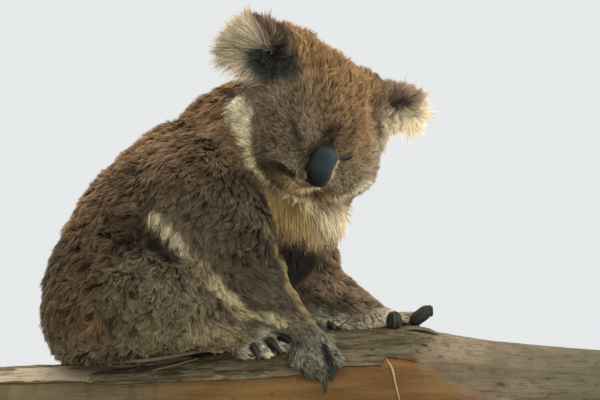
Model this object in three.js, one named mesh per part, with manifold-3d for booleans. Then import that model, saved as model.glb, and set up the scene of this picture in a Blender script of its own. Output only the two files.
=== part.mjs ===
// A sleeping koala, life size, on a cut length of branch that a plain display stand holds up.
// Millimetres, +Z up, +X the way the body faces, -Y the side that its head is turned to.
// The origin is the middle of the underside of the stand's base.
//
// Every part of the animal is a rounded form: a few ellipsoids and tapered bones that melt
// into each other. A ball of evenly spread vertices is pushed out to that form's surface, and
// each finished piece is then trimmed by the pieces before it, so that they meet in thin cuts.
import * as THREE from "three";
import { mergeVertices } from "three/addons/utils/BufferGeometryUtils.js";
import Module from "manifold-3d";

const wasm = await Module();
wasm.setup();

const V = (x, y, z) => new THREE.Vector3(x, y, z);
const radians = THREE.MathUtils.degToRad;

// ---------------------------------------------------------------- driving dimensions

const GAP = 0.4; // clear space left at each cut between two pieces

const BASE = { length: 440, width: 290, thick: 20, corner: 36, bevel: 2 };
const ROD = { radius: 8, apart: 250, sides: 14 };

// The branch lies along X. At evenly spaced stations, [height of its top, radius].
const BRANCH = {
  left: -286,
  right: 422,
  stations: [[229, 62], [236, 62], [249, 64], [267, 67], [274, 69], [260, 68], [250, 67]],
  sides: 18,
  steps: 15,
};
const KNOT = { x: 196, reach: 22, lift: 5 };

// The skull's frame: x to the nose, y to its left ear, z to the crown. Angles in degrees.
const HEAD = { at: [78, -48, 506], heading: -71, down: 31, roll: 26 };
const EAR = { radii: [15, 51, 47], cup: 15, outward: 34, lean: -8 };
const EAR_AT = { left: [-20, 100, 63], right: [-22, -104, 50] };
const EYE = { toward: [40, 33], level: 8, radius: 10 };

// Claws taper from this half width, over this length from the middle of a digit's tip.
const CLAW = { handLength: 25, footLength: 20, thick: 5, bend: 70 };

const FUR = { back: 0x6f5a47, limb: 0x85786a, face: 0x7c6d5c, cream: 0xcfc3a4 };
const material = (color, roughness = 0.95, metalness = 0) =>
  new THREE.MeshStandardMaterial({ color, roughness, metalness });

// ---------------------------------------------------------------- fields of rounded forms

// Distance to an ellipsoid, close enough near its surface. turn is about X, Y, Z in degrees.
function ball(at, radii, turn = [0, 0, 0]) {
  const centre = V(...at);
  const unturn = new THREE.Quaternion()
    .setFromEuler(new THREE.Euler(...turn.map(radians), "ZYX"))
    .invert();
  const size = V(...radii);
  const squared = size.clone().multiply(size);
  return (point) => {
    const p = point.clone().sub(centre).applyQuaternion(unturn);
    const near = p.clone().divide(size).length();
    const slope = p.clone().divide(squared).length();
    return slope > 0 ? (near * (near - 1)) / slope : -Math.min(...radii);
  };
}

// Distance to a bone that tapers from one end's radius to the other's.
function bone(from, to, startRadius, endRadius) {
  const start = V(...from);
  const along = V(...to).sub(start);
  return (point) => {
    const p = point.clone().sub(start);
    const t = THREE.MathUtils.clamp(p.dot(along) / along.lengthSq(), 0, 1);
    return p.addScaledVector(along, -t).length() - THREE.MathUtils.lerp(startRadius, endRadius, t);
  };
}

// Joins forms, with the crease between them filled over about the blend's width.
const melt = (blend, ...forms) => (point) =>
  forms
    .map((form) => form(point))
    .reduce((a, b) => {
      const h = Math.max(blend - Math.abs(a - b), 0) / blend;
      return Math.min(a, b) - (h * h * blend) / 4;
    });

// ---------------------------------------------------------------- geometry from the fields

// Keeps only positions and joins the vertices that coincide, so that the mesh is closed.
function closed(geometry) {
  const bare = new THREE.BufferGeometry();
  bare.setAttribute("position", geometry.getAttribute("position"));
  bare.setIndex(geometry.index);
  return mergeVertices(bare, 1e-3);
}

function movedVertices(geometry, move) {
  const position = geometry.getAttribute("position");
  const point = new THREE.Vector3();
  for (let i = 0; i < position.count; i++) {
    point.fromBufferAttribute(position, i);
    position.setXYZ(i, ...move(point).toArray());
  }
  return geometry;
}

// Where the line from a centre along a ray leaves the form, stood off by the proud distance.
function surfacePoint(form, centre, ray, proud = 0) {
  const at = (r) => V(...centre).addScaledVector(ray, r / ray.length());
  let outside = 0;
  while (form(at(outside)) < proud && outside < 400) outside += 2;
  let inside = outside - 2;
  for (let i = 0; i < 18; i++) {
    const half = (inside + outside) / 2;
    if (form(at(half)) < proud) inside = half;
    else outside = half;
  }
  return at(outside);
}

// An even ball of triangles whose vertices slide out from the centre to the form's surface.
// stretch leans the rays towards the ends of a long form.
function skin(form, centre, detail, proud = 0, stretch = [1, 1, 1]) {
  const rays = closed(new THREE.IcosahedronGeometry(1, detail));
  return movedVertices(rays, (vertex) =>
    surfacePoint(form, centre, vertex.clone().multiply(V(...stretch)), proud),
  );
}

// ---------------------------------------------------------------- pieces and their cuts

const koala = new THREE.Group();
koala.name = "koala";
const cutters = [];

function solidOf(geometry, matrix) {
  const mesh = closed(geometry.clone().applyMatrix4(matrix));
  return new wasm.Manifold(
    new wasm.Mesh({
      numProp: 3,
      vertProperties: mesh.attributes.position.array,
      triVerts: new Uint32Array(mesh.index.array),
    }),
  );
}

function geometryOf(solid, matrix) {
  const mesh = solid.getMesh();
  const geometry = new THREE.BufferGeometry()
    .setAttribute("position", new THREE.BufferAttribute(mesh.vertProperties, 3))
    .setIndex(new THREE.BufferAttribute(mesh.triVerts, 1))
    .applyMatrix4(matrix);
  geometry.computeVertexNormals();
  return geometry;
}

const largest = (solid) => solid.decompose().sort((a, b) => b.volume() - a.volume())[0];

// Adds a piece to its group. shapes(proud) gives the geometries that are joined into it, and the
// same shapes stood proud by the gap trim every later piece.
function piece(name, look, shapes, group = koala) {
  koala.updateMatrixWorld(true);
  const joined = (proud) =>
    shapes(proud)
      .map((geometry) => solidOf(geometry, group.matrixWorld))
      .reduce((a, b) => a.add(b));
  const trimmed = cutters.reduce((solid, cutter) => solid.subtract(cutter), joined(0));
  cutters.push(joined(GAP));
  const toGroup = group.matrixWorld.clone().invert();
  const mesh = new THREE.Mesh(geometryOf(largest(trimmed), toGroup), look);
  mesh.name = name;
  group.add(mesh);
}

// ---------------------------------------------------------------- the branch

const branchLength = BRANCH.right - BRANCH.left;
const branchProfile = new THREE.CatmullRomCurve3(
  BRANCH.stations.map(([top, radius], i, all) =>
    V(BRANCH.left + (i * branchLength) / (all.length - 1), top, radius),
  ),
  false,
  "catmullrom",
);

// Radius and height of the branch's middle line at a place along X.
function branchAt(x) {
  const { y: top, z: radius } = branchProfile.getPoint((x - BRANCH.left) / branchLength);
  return { radius, axis: top - radius };
}

function branch(proud) {
  const tube = closed(new THREE.CylinderGeometry(1, 1, 1, BRANCH.sides, BRANCH.steps));
  const middle = (BRANCH.left + BRANCH.right) / 2;
  return movedVertices(tube, (vertex) => {
    const x = middle + vertex.y * branchLength;
    const { radius, axis } = branchAt(x);
    const angle = Math.atan2(-vertex.x, vertex.z);
    const upward = Math.max(Math.cos(angle), 0);
    const knot = KNOT.lift * Math.exp(-(((x - KNOT.x) / KNOT.reach) ** 2)) * upward ** 3;
    const ripple = 1.5 * Math.sin(3 * angle + 0.011 * x) * Math.sin(angle);
    const out = Math.hypot(vertex.x, vertex.z) * (radius + knot + ripple + proud);
    return V(x + 2 * proud * vertex.y, out * Math.sin(angle), axis + out * Math.cos(angle));
  });
}
piece("perch_branch", material(0x8d7a60, 0.9), (proud) => [branch(proud)]);

// ---------------------------------------------------------------- the display stand

function roundedPlate({ length, width, thick, corner, bevel }) {
  const [x, y] = [length / 2 - bevel, width / 2 - bevel];
  const outline = new THREE.Shape()
    .moveTo(x - corner, -y)
    .absarc(x - corner, corner - y, corner, -Math.PI / 2, 0)
    .absarc(x - corner, y - corner, corner, 0, Math.PI / 2)
    .absarc(corner - x, y - corner, corner, Math.PI / 2, Math.PI)
    .absarc(corner - x, corner - y, corner, Math.PI, 1.5 * Math.PI);
  const plate = new THREE.ExtrudeGeometry(outline, {
    depth: thick - 2 * bevel,
    bevelThickness: bevel,
    bevelSize: bevel,
    bevelSegments: 1,
    curveSegments: 3,
  });
  return plate.translate(0, 0, bevel);
}
piece("stand_base", material(0x2e2b29, 0.5), () => [roundedPlate(BASE)]);

for (const [i, side] of [-1, 1].entries()) {
  const x = (side * ROD.apart) / 2;
  const bottom = BASE.thick + GAP;
  const height = branchAt(x).axis - bottom;
  piece(`stand_rod_${i + 1}`, material(0xa9abad, 0.35, 1), (proud) => {
    const radius = ROD.radius + proud;
    const rod = new THREE.CylinderGeometry(radius, radius, height, ROD.sides);
    return [rod.rotateX(Math.PI / 2).translate(x, 0, bottom + height / 2)];
  });
}

// ---------------------------------------------------------------- the head's small parts

const head = new THREE.Group();
head.name = "head_frame";
head.position.set(...HEAD.at);
head.rotation.set(-radians(HEAD.roll), radians(HEAD.down), radians(HEAD.heading), "ZYX");
koala.add(head);

const sides = [["left", 1], ["right", -1]];

const skull = melt(
  20,
  ball([-24, 0, 12], [72, 78, 66]), // cranium
  ball([0, 52, -20], [52, 52, 52]), // left cheek
  ball([0, -42, -28], [52, 44, 54]), // right cheek
  ball([18, 0, 20], [33, 46, 38]), // brow
  ball([-38, 66, 52], [36, 38, 30]), // left ear's root
  ball([-38, -60, 48], [36, 38, 30]), // right ear's root
  ball([42, 0, -22], [29, 26, 28]), // muzzle
  ball([32, 0, -52], [28, 26, 20]), // chin
);

const nosePad = melt(10, ball([69, 0, -6], [12, 13, 18], [0, -20, 0]), ball([75, 0, -25], [13, 17, 14]));
piece("nose", material(0x23272a, 0.45), (proud) => [skin(nosePad, [71, 0, -18], 2, proud)], head);

for (const [side, y] of sides) {
  const [x, apart] = EYE.toward;
  const at = surfacePoint(skull, [0, 0, EYE.level], V(x, y * apart, 0)).multiplyScalar(0.94).toArray();
  const lid = ball(at, [EYE.radius, EYE.radius, EYE.radius * 0.8]);
  piece(`eye_${side}`, material(0x39332d, 0.8), (proud) => [skin(lid, at, 1, proud)], head);
}

// ---------------------------------------------------------------- claws

// A cone bent along an arc. Its base is at the origin, it points along +X and bends down to -Z.
function claw(length, proud = 0) {
  const bend = radians(CLAW.bend);
  const arc = length / bend;
  const cone = closed(new THREE.ConeGeometry(CLAW.thick + proud, length, 5, 3));
  return movedVertices(cone, (vertex) => {
    const angle = (vertex.y / length + 0.5) * bend;
    const out = arc + vertex.x;
    return V(Math.sin(angle) * out, vertex.z * 0.7, Math.cos(angle) * out - arc);
  });
}

// Stands a claw on a digit's tip, along the digit, with its back turned away from the branch.
function clawPose(from, to) {
  const tip = V(...to);
  const ahead = tip.clone().sub(V(...from)).normalize();
  const away = V(0, tip.y, tip.z - branchAt(tip.x).axis).normalize();
  const across = V(0, 0, 0).crossVectors(away, ahead).normalize();
  const back = V(0, 0, 0).crossVectors(ahead, across);
  return new THREE.Matrix4().makeBasis(ahead, across, back).setPosition(tip);
}

// A finger or toe: a ball drawn out between two points.
function digit([from, to, startRadius, endRadius], proud = 0) {
  const start = V(...from);
  const along = V(...to).sub(start);
  const turn = new THREE.Quaternion().setFromUnitVectors(V(0, 1, 0), along.clone().normalize());
  return movedVertices(closed(new THREE.SphereGeometry(1, 6, 5)), (vertex) => {
    const far = vertex.y > 0.01;
    const at = vertex.clone().multiplyScalar((far ? endRadius : startRadius) + proud);
    at.applyQuaternion(turn).add(start);
    return far ? at.add(along) : at;
  });
}

// Each digit runs from its knuckle to its tip, with a radius at each. The first two fingers
// are the thumbs. The first toe of a hind foot has no claw.
const PAWS = {
  hand_right: {
    palm: ball([82, -44, 270], [28, 23, 22], [-30, 0, 0]),
    centre: [82, -44, 270],
    clawLength: CLAW.handLength,
    digits: [
      [[100, -46, 266], [110, -65, 244], 11, 9],
      [[97, -52, 260], [103, -71, 230], 11, 9],
      [[86, -54, 260], [91, -75, 226], 12, 9.5],
      [[76, -54, 262], [75, -73, 233], 12, 9.5],
      [[67, -50, 264], [63, -67, 243], 11, 9],
    ],
  },
  hand_left: {
    palm: ball([158, 14, 286], [25, 23, 15]),
    centre: [158, 14, 286],
    clawLength: CLAW.handLength,
    digits: [
      [[162, -2, 284], [178, -12, 285], 9.5, 8],
      [[172, 6, 286], [203, 1, 289], 9.5, 8],
      [[172, 18, 286], [201, 18, 287], 10, 8],
      [[168, 29, 283], [196, 36, 280], 10, 8],
      [[158, 37, 278], [178, 50, 266], 9.5, 8],
    ],
  },
  foot_right: {
    palm: ball([8, -44, 270], [34, 24, 18], [-24, 0, 0]),
    centre: [8, -44, 270],
    clawLength: CLAW.footLength,
    digits: [
      [[28, -34, 275], [44, -30, 276], 10, 8.5],
      [[28, -46, 271], [44, -50, 265], 10, 8.5],
      [[20, -54, 267], [34, -62, 257], 10.5, 8.5],
      [[6, -56, 265], [14, -67, 252], 10.5, 8.5],
    ],
  },
  foot_left: {
    palm: ball([70, 24, 278], [36, 24, 17]),
    centre: [70, 24, 278],
    clawLength: CLAW.footLength,
    digits: [
      [[84, 8, 278], [95, -8, 279], 10, 8.5],
      [[92, 16, 279], [110, 10, 280], 10, 8.5],
      [[92, 26, 278], [112, 26, 277], 10.5, 8.5],
      [[86, 38, 272], [104, 46, 266], 10.5, 8.5],
    ],
  },
};

// ---------------------------------------------------------------- head, neck and trunk

piece("head", material(FUR.face), (proud) => [skin(skull, [0, 0, 0], 5, proud)], head);

const nape = bone([-16, 4, 484], [50, -8, 518], 62, 56);
piece("neck", material(FUR.cream), (proud) => [skin(nape, [22, -2, 504], 2, proud)]);

const torso = melt(
  46,
  ball([-130, 0, 318], [97, 118, 96]), // rump
  ball([-134, 0, 268], [78, 96, 46]), // seat
  ball([-92, 0, 392], [92, 108, 88]), // loins
  ball([-34, -2, 446], [84, 92, 72], [0, 30, 0]), // shoulders
  ball([62, 0, 424], [68, 60, 76]), // chest and bib
  ball([-10, 0, 340], [74, 84, 66]), // belly
);
piece("trunk", material(FUR.back), (proud) => [skin(torso, [-60, 0, 375], 5, proud)]);

// A pinna with its fringe: a thick disc, cupped forward, on the head's upper corner.
for (const [side, y] of sides) {
  const pose = new THREE.Matrix4().makeRotationFromEuler(
    new THREE.Euler(0, radians(EAR.lean), y * radians(EAR.outward), "ZYX"),
  );
  pose.setPosition(...EAR_AT[side]);
  const [thick, width, height] = EAR.radii;
  const pinna = (proud) =>
    movedVertices(closed(new THREE.IcosahedronGeometry(1, 2)), ({ x, y: across, z }) =>
      V(
        x * (thick + proud) + EAR.cup * (across ** 2 + z ** 2 - 0.6),
        across * (width + proud),
        z * (height + proud),
      ),
    ).applyMatrix4(pose);
  piece(`ear_${side}`, material(FUR.cream), (proud) => [pinna(proud)], head);
}

// ---------------------------------------------------------------- limbs

const LIMBS = {
  thigh_right: { form: ball([-86, -82, 314], [84, 52, 70]), centre: [-84, -84, 312], detail: 3 },
  thigh_left: {
    form: melt(24, ball([-88, 82, 314], [84, 52, 70]), ball([4, 78, 308], [60, 40, 44])),
    centre: [-60, 82, 310],
    detail: 3,
  },
  upper_arm_right: {
    form: melt(
      20,
      ball([-34, -86, 408], [64, 46, 88], [0, -22, 0]), // shoulder to elbow
      ball([-30, -86, 347], [30, 34, 30]), // fur behind the elbow
      ball([8, -88, 368], [37, 36, 46]), // crook of the arm
    ),
    centre: [-30, -86, 396],
    detail: 3,
    stretch: [0.8, 0.7, 1.2],
  },
  upper_arm_left: {
    form: melt(20, ball([4, 74, 426], [56, 40, 60]), bone([50, 62, 420], [90, 50, 338], 46, 33)),
    centre: [50, 64, 398],
    detail: 2,
    stretch: [0.8, 0.7, 1.2],
  },
  forearm_right: {
    form: bone([-6, -90, 342], [67, -68, 285], 44, 22),
    centre: [30, -80, 314],
    detail: 3,
    stretch: [1.3, 0.8, 1.1],
  },
  forearm_left: {
    form: bone([92, 42, 322], [156, 16, 292], 34, 16),
    centre: [112, 33, 311],
    detail: 2,
    stretch: [1.4, 0.9, 0.8],
  },
  shank_right: { form: bone([-34, -80, 294], [0, -58, 272], 38, 26), centre: [-18, -70, 284], detail: 1 },
  shank_left: { form: bone([30, 62, 306], [62, 36, 288], 34, 24), centre: [44, 50, 298], detail: 1 },
};

for (const [name, { form, centre, detail, stretch }] of Object.entries(LIMBS)) {
  piece(name, material(FUR.limb), (proud) => [skin(form, centre, detail, proud, stretch)]);
}

for (const [name, { palm, centre, digits }] of Object.entries(PAWS)) {
  piece(name, material(FUR.limb), (proud) => [
    skin(palm, centre, 2, proud),
    ...digits.map((spec) => digit(spec, proud)),
  ]);
}

for (const [name, { digits, clawLength }] of Object.entries(PAWS)) {
  const clawed = name.startsWith("foot") ? digits.slice(1) : digits;
  for (const [i, [from, to]] of clawed.entries()) {
    const pose = clawPose(from, to);
    piece(`claw_${name}_${i + 1}`, material(0x1d1b1a, 0.35), (proud) => [
      claw(clawLength, proud).applyMatrix4(pose),
    ]);
  }
}

export default koala;
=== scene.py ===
"""A koala dozing on a cut log over a plain display stand.

Its skin, coat, face, claws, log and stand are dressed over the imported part.
"""

import math

import bmesh
import bpy
import numpy as np
from mathutils import Matrix, Vector, bvhtree, kdtree


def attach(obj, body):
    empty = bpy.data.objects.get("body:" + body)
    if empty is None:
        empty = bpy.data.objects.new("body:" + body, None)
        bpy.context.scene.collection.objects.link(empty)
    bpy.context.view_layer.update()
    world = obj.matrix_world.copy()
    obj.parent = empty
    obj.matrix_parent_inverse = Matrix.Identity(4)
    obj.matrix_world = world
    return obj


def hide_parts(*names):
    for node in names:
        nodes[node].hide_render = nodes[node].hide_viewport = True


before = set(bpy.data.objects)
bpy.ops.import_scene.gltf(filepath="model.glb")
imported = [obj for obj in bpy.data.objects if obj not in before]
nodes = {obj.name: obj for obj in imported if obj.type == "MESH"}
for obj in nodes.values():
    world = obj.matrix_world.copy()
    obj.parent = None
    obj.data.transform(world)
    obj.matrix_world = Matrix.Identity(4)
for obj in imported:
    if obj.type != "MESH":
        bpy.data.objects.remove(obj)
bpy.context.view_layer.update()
rng = np.random.default_rng(11)
MM = 0.001

# The head's own frame: x out of the nose, y to its left ear, z to its crown.
HEAD_AT = np.array([78.0, -48.0, 506.0])
HEAD = np.array(
    Matrix.Rotation(math.radians(-71), 3, "Z")
    @ Matrix.Rotation(math.radians(31), 3, "Y")
    @ Matrix.Rotation(math.radians(-26), 3, "X")
)


def in_head(points):
    return (points - HEAD_AT) @ HEAD


def from_head(points):
    return np.asarray(points, float) @ HEAD.T + HEAD_AT


# ---------------------------------------------------------------- small tools


def smooth_step(low, high, x):
    t = np.clip((x - low) / (high - low), 0, 1)
    return t * t * (3 - 2 * t)


def unit(v):
    return v / np.maximum(np.linalg.norm(v, axis=-1, keepdims=True), 1e-9)


def flatten_on(v, normal):
    return v - normal * (v * normal).sum(-1, keepdims=True)


def value_noise(points, size, seed=0):
    """Smooth noise from -1 to 1, with lumps of the given size."""
    q = points / size + 13.7 * (seed + 1)
    cell = np.floor(q).astype(np.int64)
    f = q - cell
    f = f * f * (3 - 2 * f)
    out = np.zeros(len(points))
    for corner in range(8):
        step = np.array([corner & 1, corner >> 1 & 1, corner >> 2])
        c = cell + step
        h = (c[:, 0] * 73856093) ^ (c[:, 1] * 19349663) ^ (c[:, 2] * 83492791) ^ (seed * 7919)
        h = (h ^ (h >> 13)) * 1274126177 & 0x7FFFFFFF
        weight = np.prod(np.where(step, f, 1 - f), axis=1)
        out += weight * (((h ^ (h >> 15)) & 0xFFFF) / 32767.5 - 1)
    return out


def near_line(points, line, reach, soft):
    """1 within reach of a line through several points, fading to 0 over soft."""
    line = np.asarray(line, float)
    best = np.full(len(points), 1e9)
    for a, b in zip(line[:-1], line[1:]):
        t = np.clip(((points - a) @ (b - a)) / ((b - a) @ (b - a)), 0, 1)
        best = np.minimum(best, np.linalg.norm(points - a - t[:, None] * (b - a), axis=1))
    return 1 - smooth_step(reach, reach + soft, best)


def near_ball(points, centre, radii, soft=0.25):
    """1 inside an ellipsoid, fading to 0 over a share of its size."""
    r = np.linalg.norm((points - np.asarray(centre, float)) / np.asarray(radii, float), axis=1)
    return 1 - smooth_step(1 - soft, 1 + soft, r)


def only(ob, *more):
    bpy.ops.object.select_all(action="DESELECT")
    for o in (ob, *more):
        o.select_set(True)
    bpy.context.view_layer.objects.active = ob


def finish_modifiers(ob):
    only(ob)
    for m in list(ob.modifiers):
        bpy.ops.object.modifier_apply(modifier=m.name)


def add(name, data):
    ob = bpy.data.objects.new(name, data)
    bpy.context.scene.collection.objects.link(ob)
    return ob


def mesh_object(name, bm):
    me = bpy.data.meshes.new(name)
    bm.to_mesh(me)
    bm.free()
    return add(name, me)


def merged_copy(name, of, swell=0.0):
    """One new mesh of CAD nodes, their loose triangles joined at the corners."""
    bm = bmesh.new()
    for n in of:
        bm.from_mesh(nodes[n].data)
    bmesh.ops.remove_doubles(bm, verts=bm.verts, dist=2e-5)
    bm.normal_update()
    if swell:
        for v in bm.verts:
            v.co += v.normal * swell
    return mesh_object(name, bm)


def even_mesh(ob, voxel):
    m = ob.modifiers.new("even", "REMESH")
    m.mode = "VOXEL"
    m.voxel_size = voxel
    finish_modifiers(ob)


def rows_of(rows, key, kind=np.float32, width=3):
    """One property of a mesh's vertices, edges or corners as an array."""
    out = np.empty(len(rows) * width, kind)
    rows.foreach_get(key, out)
    return out.reshape(-1, width)


def coords(me):
    return rows_of(me.vertices, "co").astype(float)


def set_coords(me, co):
    me.vertices.foreach_set("co", co.astype(np.float32).ravel())
    me.update()


def normals(me):
    return rows_of(me.vertex_normals, "vector").astype(float)


def triangles(me):
    me.calc_loop_triangles()
    return rows_of(me.loop_triangles, "vertices", np.int32)


def shade_smooth(me):
    me.polygons.foreach_set("use_smooth", np.ones(len(me.polygons), bool))


def close_rings(bm, rings):
    """Faces from each ring of corners to the next, and one over each end."""
    count = len(rings[0])
    for r0, r1 in zip(rings[:-1], rings[1:]):
        for i in range(count):
            j = (i + 1) % count
            bm.faces.new((r0[i], r1[i], r1[j], r0[j]))
    bm.faces.new(rings[0])
    bm.faces.new(rings[-1][::-1])


def rounded(name, bm):
    """A new piece from a rough shape, rounded off."""
    bmesh.ops.recalc_face_normals(bm, faces=bm.faces)
    ob = mesh_object(name, bm)
    m = ob.modifiers.new("round", "SUBSURF")
    m.levels = m.render_levels = 2
    finish_modifiers(ob)
    shade_smooth(ob.data)
    return ob


class Net:
    """A mesh's edges, for spreading values over its surface."""

    def __init__(self, me):
        e = rows_of(me.edges, "vertices", np.int32, 2)
        self.ends = np.concatenate([e, e[:, ::-1]])
        self.count = len(me.vertices)
        self.degree = np.maximum(np.bincount(self.ends[:, 0], minlength=self.count), 1)

    def relax(self, values, times, amount=0.5):
        """Moves each value towards the mean of its neighbours, so many times."""
        flat = values.reshape(self.count, -1).astype(float)
        start, end = self.ends.T
        if np.ndim(amount):
            amount = amount[:, None]
        for _ in range(times):
            sums = [np.bincount(start, column[end], self.count) for column in flat.T]
            flat = flat + (np.stack(sums, 1) / self.degree[:, None] - flat) * amount
        return flat.reshape(values.shape)


def paint(me, name, colour):
    """Stores a colour for each vertex."""
    layer = me.color_attributes.new(name, "FLOAT_COLOR", "POINT")
    rgba = np.ones((len(me.vertices), 4), np.float32)
    rgba[:, : colour.shape[1]] = colour
    layer.data.foreach_set("color", rgba.ravel())


def linear(r, g, b):
    """A colour written in 0 to 255 as a paint card gives it, in the renderer's linear values."""
    c = np.array([r, g, b]) / 255
    return np.where(c <= 0.04045, c / 12.92, ((c + 0.055) / 1.055) ** 2.4)


# ---------------------------------------------------------------- materials


class Value:
    """A socket that adds Math nodes when it is used in an expression."""

    def __init__(self, finish, socket):
        self.finish, self.socket = finish, socket

    def math(self, operation, *terms):
        node = self.finish.node("ShaderNodeMath", {"operation": operation}, dict(enumerate(terms)))
        return Value(self.finish, node.outputs[0])

    def __add__(self, o):
        return self.math("ADD", self, o)

    def __radd__(self, o):
        return self.math("ADD", o, self)

    def __sub__(self, o):
        return self.math("SUBTRACT", self, o)

    def __rsub__(self, o):
        return self.math("SUBTRACT", o, self)

    def __mul__(self, o):
        return self.math("MULTIPLY", self, o)

    def __rmul__(self, o):
        return self.math("MULTIPLY", o, self)

    def __abs__(self):
        return self.math("ABSOLUTE", self)


class Nodes:
    """A tree of nodes, of a material or of the world."""

    def __init__(self, tree):
        self.tree = tree

    def node(self, kind, settings=None, sockets=None):
        node = self.tree.nodes.new(kind)
        for key, value in (settings or {}).items():
            setattr(node, key, value)
        for key, value in (sockets or {}).items():
            self.plug(node.inputs[key], value)
        return node

    def plug(self, socket, value):
        if isinstance(value, Value):
            value = value.socket
        if isinstance(value, bpy.types.NodeSocket):
            self.tree.links.new(value, socket)
        elif socket.type == "RGBA" and len(value) == 3:
            socket.default_value = (*value, 1)
        else:
            socket.default_value = value


class Finish(Nodes):
    """A material made of nodes around one Principled shader."""

    def __init__(self, name, constants):
        self.material = bpy.data.materials.new(name)
        self.material.use_nodes = True
        super().__init__(self.material.node_tree)
        self.shader = self.tree.nodes["Principled BSDF"]
        for socket, value in constants.items():
            self.plug(self.shader.inputs[socket], value)

    def value(self, kind, settings=None, sockets=None, out=0):
        return Value(self, self.node(kind, settings, sockets).outputs[out])

    def place(self, scale=(1, 1, 1), turn=(0, 0, 0), at=(0, 0, 0)):
        where = self.node("ShaderNodeTexCoord").outputs["Object"]
        return self.node(
            "ShaderNodeMapping",
            sockets={"Vector": where, "Scale": scale, "Rotation": turn, "Location": at},
        ).outputs[0]

    def noise(self, vector, scale, detail=4.0, rough=0.5, warp=0.0):
        return self.value(
            "ShaderNodeTexNoise",
            sockets={
                "Vector": vector, "Scale": scale, "Detail": detail,
                "Roughness": rough, "Distortion": warp,
            },
        )

    def mix(self, share, a, b):
        return self.node("ShaderNodeMix", {"data_type": "RGBA"}, {0: share, 6: a, 7: b}).outputs[2]

    def blend(self, share, dark, light):
        """A colour between two tones."""
        return self.mix(share, linear(*dark), linear(*light))

    def wash(self, base, value, low, high, amount, tone):
        """A tone laid over the base where a value goes from low to high."""
        return self.mix(self.spread(value, low, high) * amount, base, linear(*tone))

    def attribute(self, name):
        return self.node("ShaderNodeAttribute", {"attribute_name": name}).outputs["Color"]

    def factor(self, name):
        """An attribute that holds one number for each vertex."""
        node = self.node("ShaderNodeAttribute", {"attribute_name": name})
        return Value(self, node.outputs["Fac"])

    def channels(self, name):
        """The three numbers that a colour attribute holds."""
        split = self.node("ShaderNodeSeparateColor", None, {0: self.attribute(name)})
        return [Value(self, socket) for socket in split.outputs]

    def spread(self, value, low, high):
        return self.value(
            "ShaderNodeMapRange", {"interpolation_type": "SMOOTHSTEP"},
            {0: value, 1: low, 2: high},
        )

    def bump(self, height, distance, strength=1.0):
        node = self.node(
            "ShaderNodeBump", None,
            {"Height": height, "Distance": distance, "Strength": strength},
        )
        self.plug(self.shader.inputs["Normal"], node.outputs[0])

    def colour(self, value):
        self.plug(self.shader.inputs["Base Color"], value)

    def rough(self, value):
        self.plug(self.shader.inputs["Roughness"], value)

    def on(self, *objects):
        for ob in objects:
            ob.data.materials.clear()
            ob.data.materials.append(self.material)


def piece(ob, slot, *replaced):
    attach(ob, "root")
    if replaced:
        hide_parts(*replaced)
    return ob


# ---------------------------------------------------------------- skin
# For each part of the body: depth of the coat, length and width of a tuft in millimetres, its
# curl, how far tufts draw together into locks, and how close they grow.

COAT_OF = {
    "trunk": (12, 21, 1.2, 0.52, 0.64, 1.0),
    "neck": (10, 22, 1.2, 0.4, 0.6, 1.1),
    "head": (6, 11, 0.95, 0.24, 0.5, 2.4),
    "ear": (9, 18, 0.95, 0.24, 0.4, 2.0),
    "upper_arm": (8, 19, 1.08, 0.38, 0.58, 1.2),
    "forearm": (5.5, 14, 1.0, 0.24, 0.52, 1.5),
    "hand": (2.5, 8, 0.95, 0.15, 0.5, 2.4),
    "thigh": (8, 15, 1.08, 0.6, 0.62, 1.1),
    "shank": (6, 12, 1.2, 0.3, 0.55, 1.3),
    "foot": (2.5, 8, 0.95, 0.15, 0.5, 2.2),
}
COAT = {}
for name, values in COAT_OF.items():
    sides = ("",) if name in ("trunk", "neck", "head") else ("_left", "_right")
    COAT.update({name + side: values for side in sides})
NAMES = list(COAT)
FLESH = {n: k for k, n in enumerate(NAMES)}
PAWS = ["hand_left", "hand_right", "foot_left", "foot_right"]
# Size of a voxel, in metres, of the skin, the nose and the log.
SKIN_VOXEL, NOSE_VOXEL, LOG_VOXEL = 0.0027, 0.0011, 0.0021

# Which way the coat lies: away from a point, or along a line of the limb.
AWAY = {
    "trunk": (50, -30, 545), "neck": (60, -20, 560),
    "upper_arm_right": (34, -30, 588), "upper_arm_left": (20, -20, 600),
    "thigh_right": (-70, -20, 470), "thigh_left": (-70, 20, 470),
    "hand_right": (36, -20, 370), "hand_left": (86, 30, 370),
    "foot_right": (-60, -30, 310), "foot_left": (10, 30, 310),
}
ALONG = {
    "forearm_right": (0.78, 0.2, -0.60), "forearm_left": (0.85, -0.3, -0.42),
    "shank_right": (0.8, 0.3, -0.5), "shank_left": (0.8, -0.3, -0.5),
}
EAR_AT = {"ear_right": (-22, -104, 50), "ear_left": (-20, 100, 63)}
# In an ear's own frame: where its hair fans out from, the oval its hair reaches and its hollow.
EAR_ROOT = {"ear_right": (4, 28, 6), "ear_left": (4, -26, 2)}
EAR_OVAL = {"ear_right": ((3, -2), (53, 50)), "ear_left": ((6, 5), (46, 38))}
HOLLOW = {
    "ear_right": [((0, 23, -13), (40, 27, 16), 0.3), ((0, 41, 0), (40, 20, 18), 0.5)],
    "ear_left": [((0, -20, 14), (40, 25, 9), 0.4)],
}


def in_ear(p, n):
    """Points of the head's frame in an ear's: x out of its hollow face, y across it, z up it."""
    out = math.radians(34 if n == "ear_left" else -34)
    lean = math.radians(-8)
    c, d = math.cos(out), math.sin(out)
    e, f = math.cos(lean), math.sin(lean)
    turn = np.array([[c, -d, 0], [d, c, 0], [0, 0, 1]]) @ np.array([[e, 0, f], [0, 1, 0], [-f, 0, e]])
    return (p - np.array(EAR_AT[n], float)) @ turn, turn


def in_hollow(e, n):
    return np.max([near_ball(e, *ball) for ball in HOLLOW[n]], axis=0)


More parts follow.
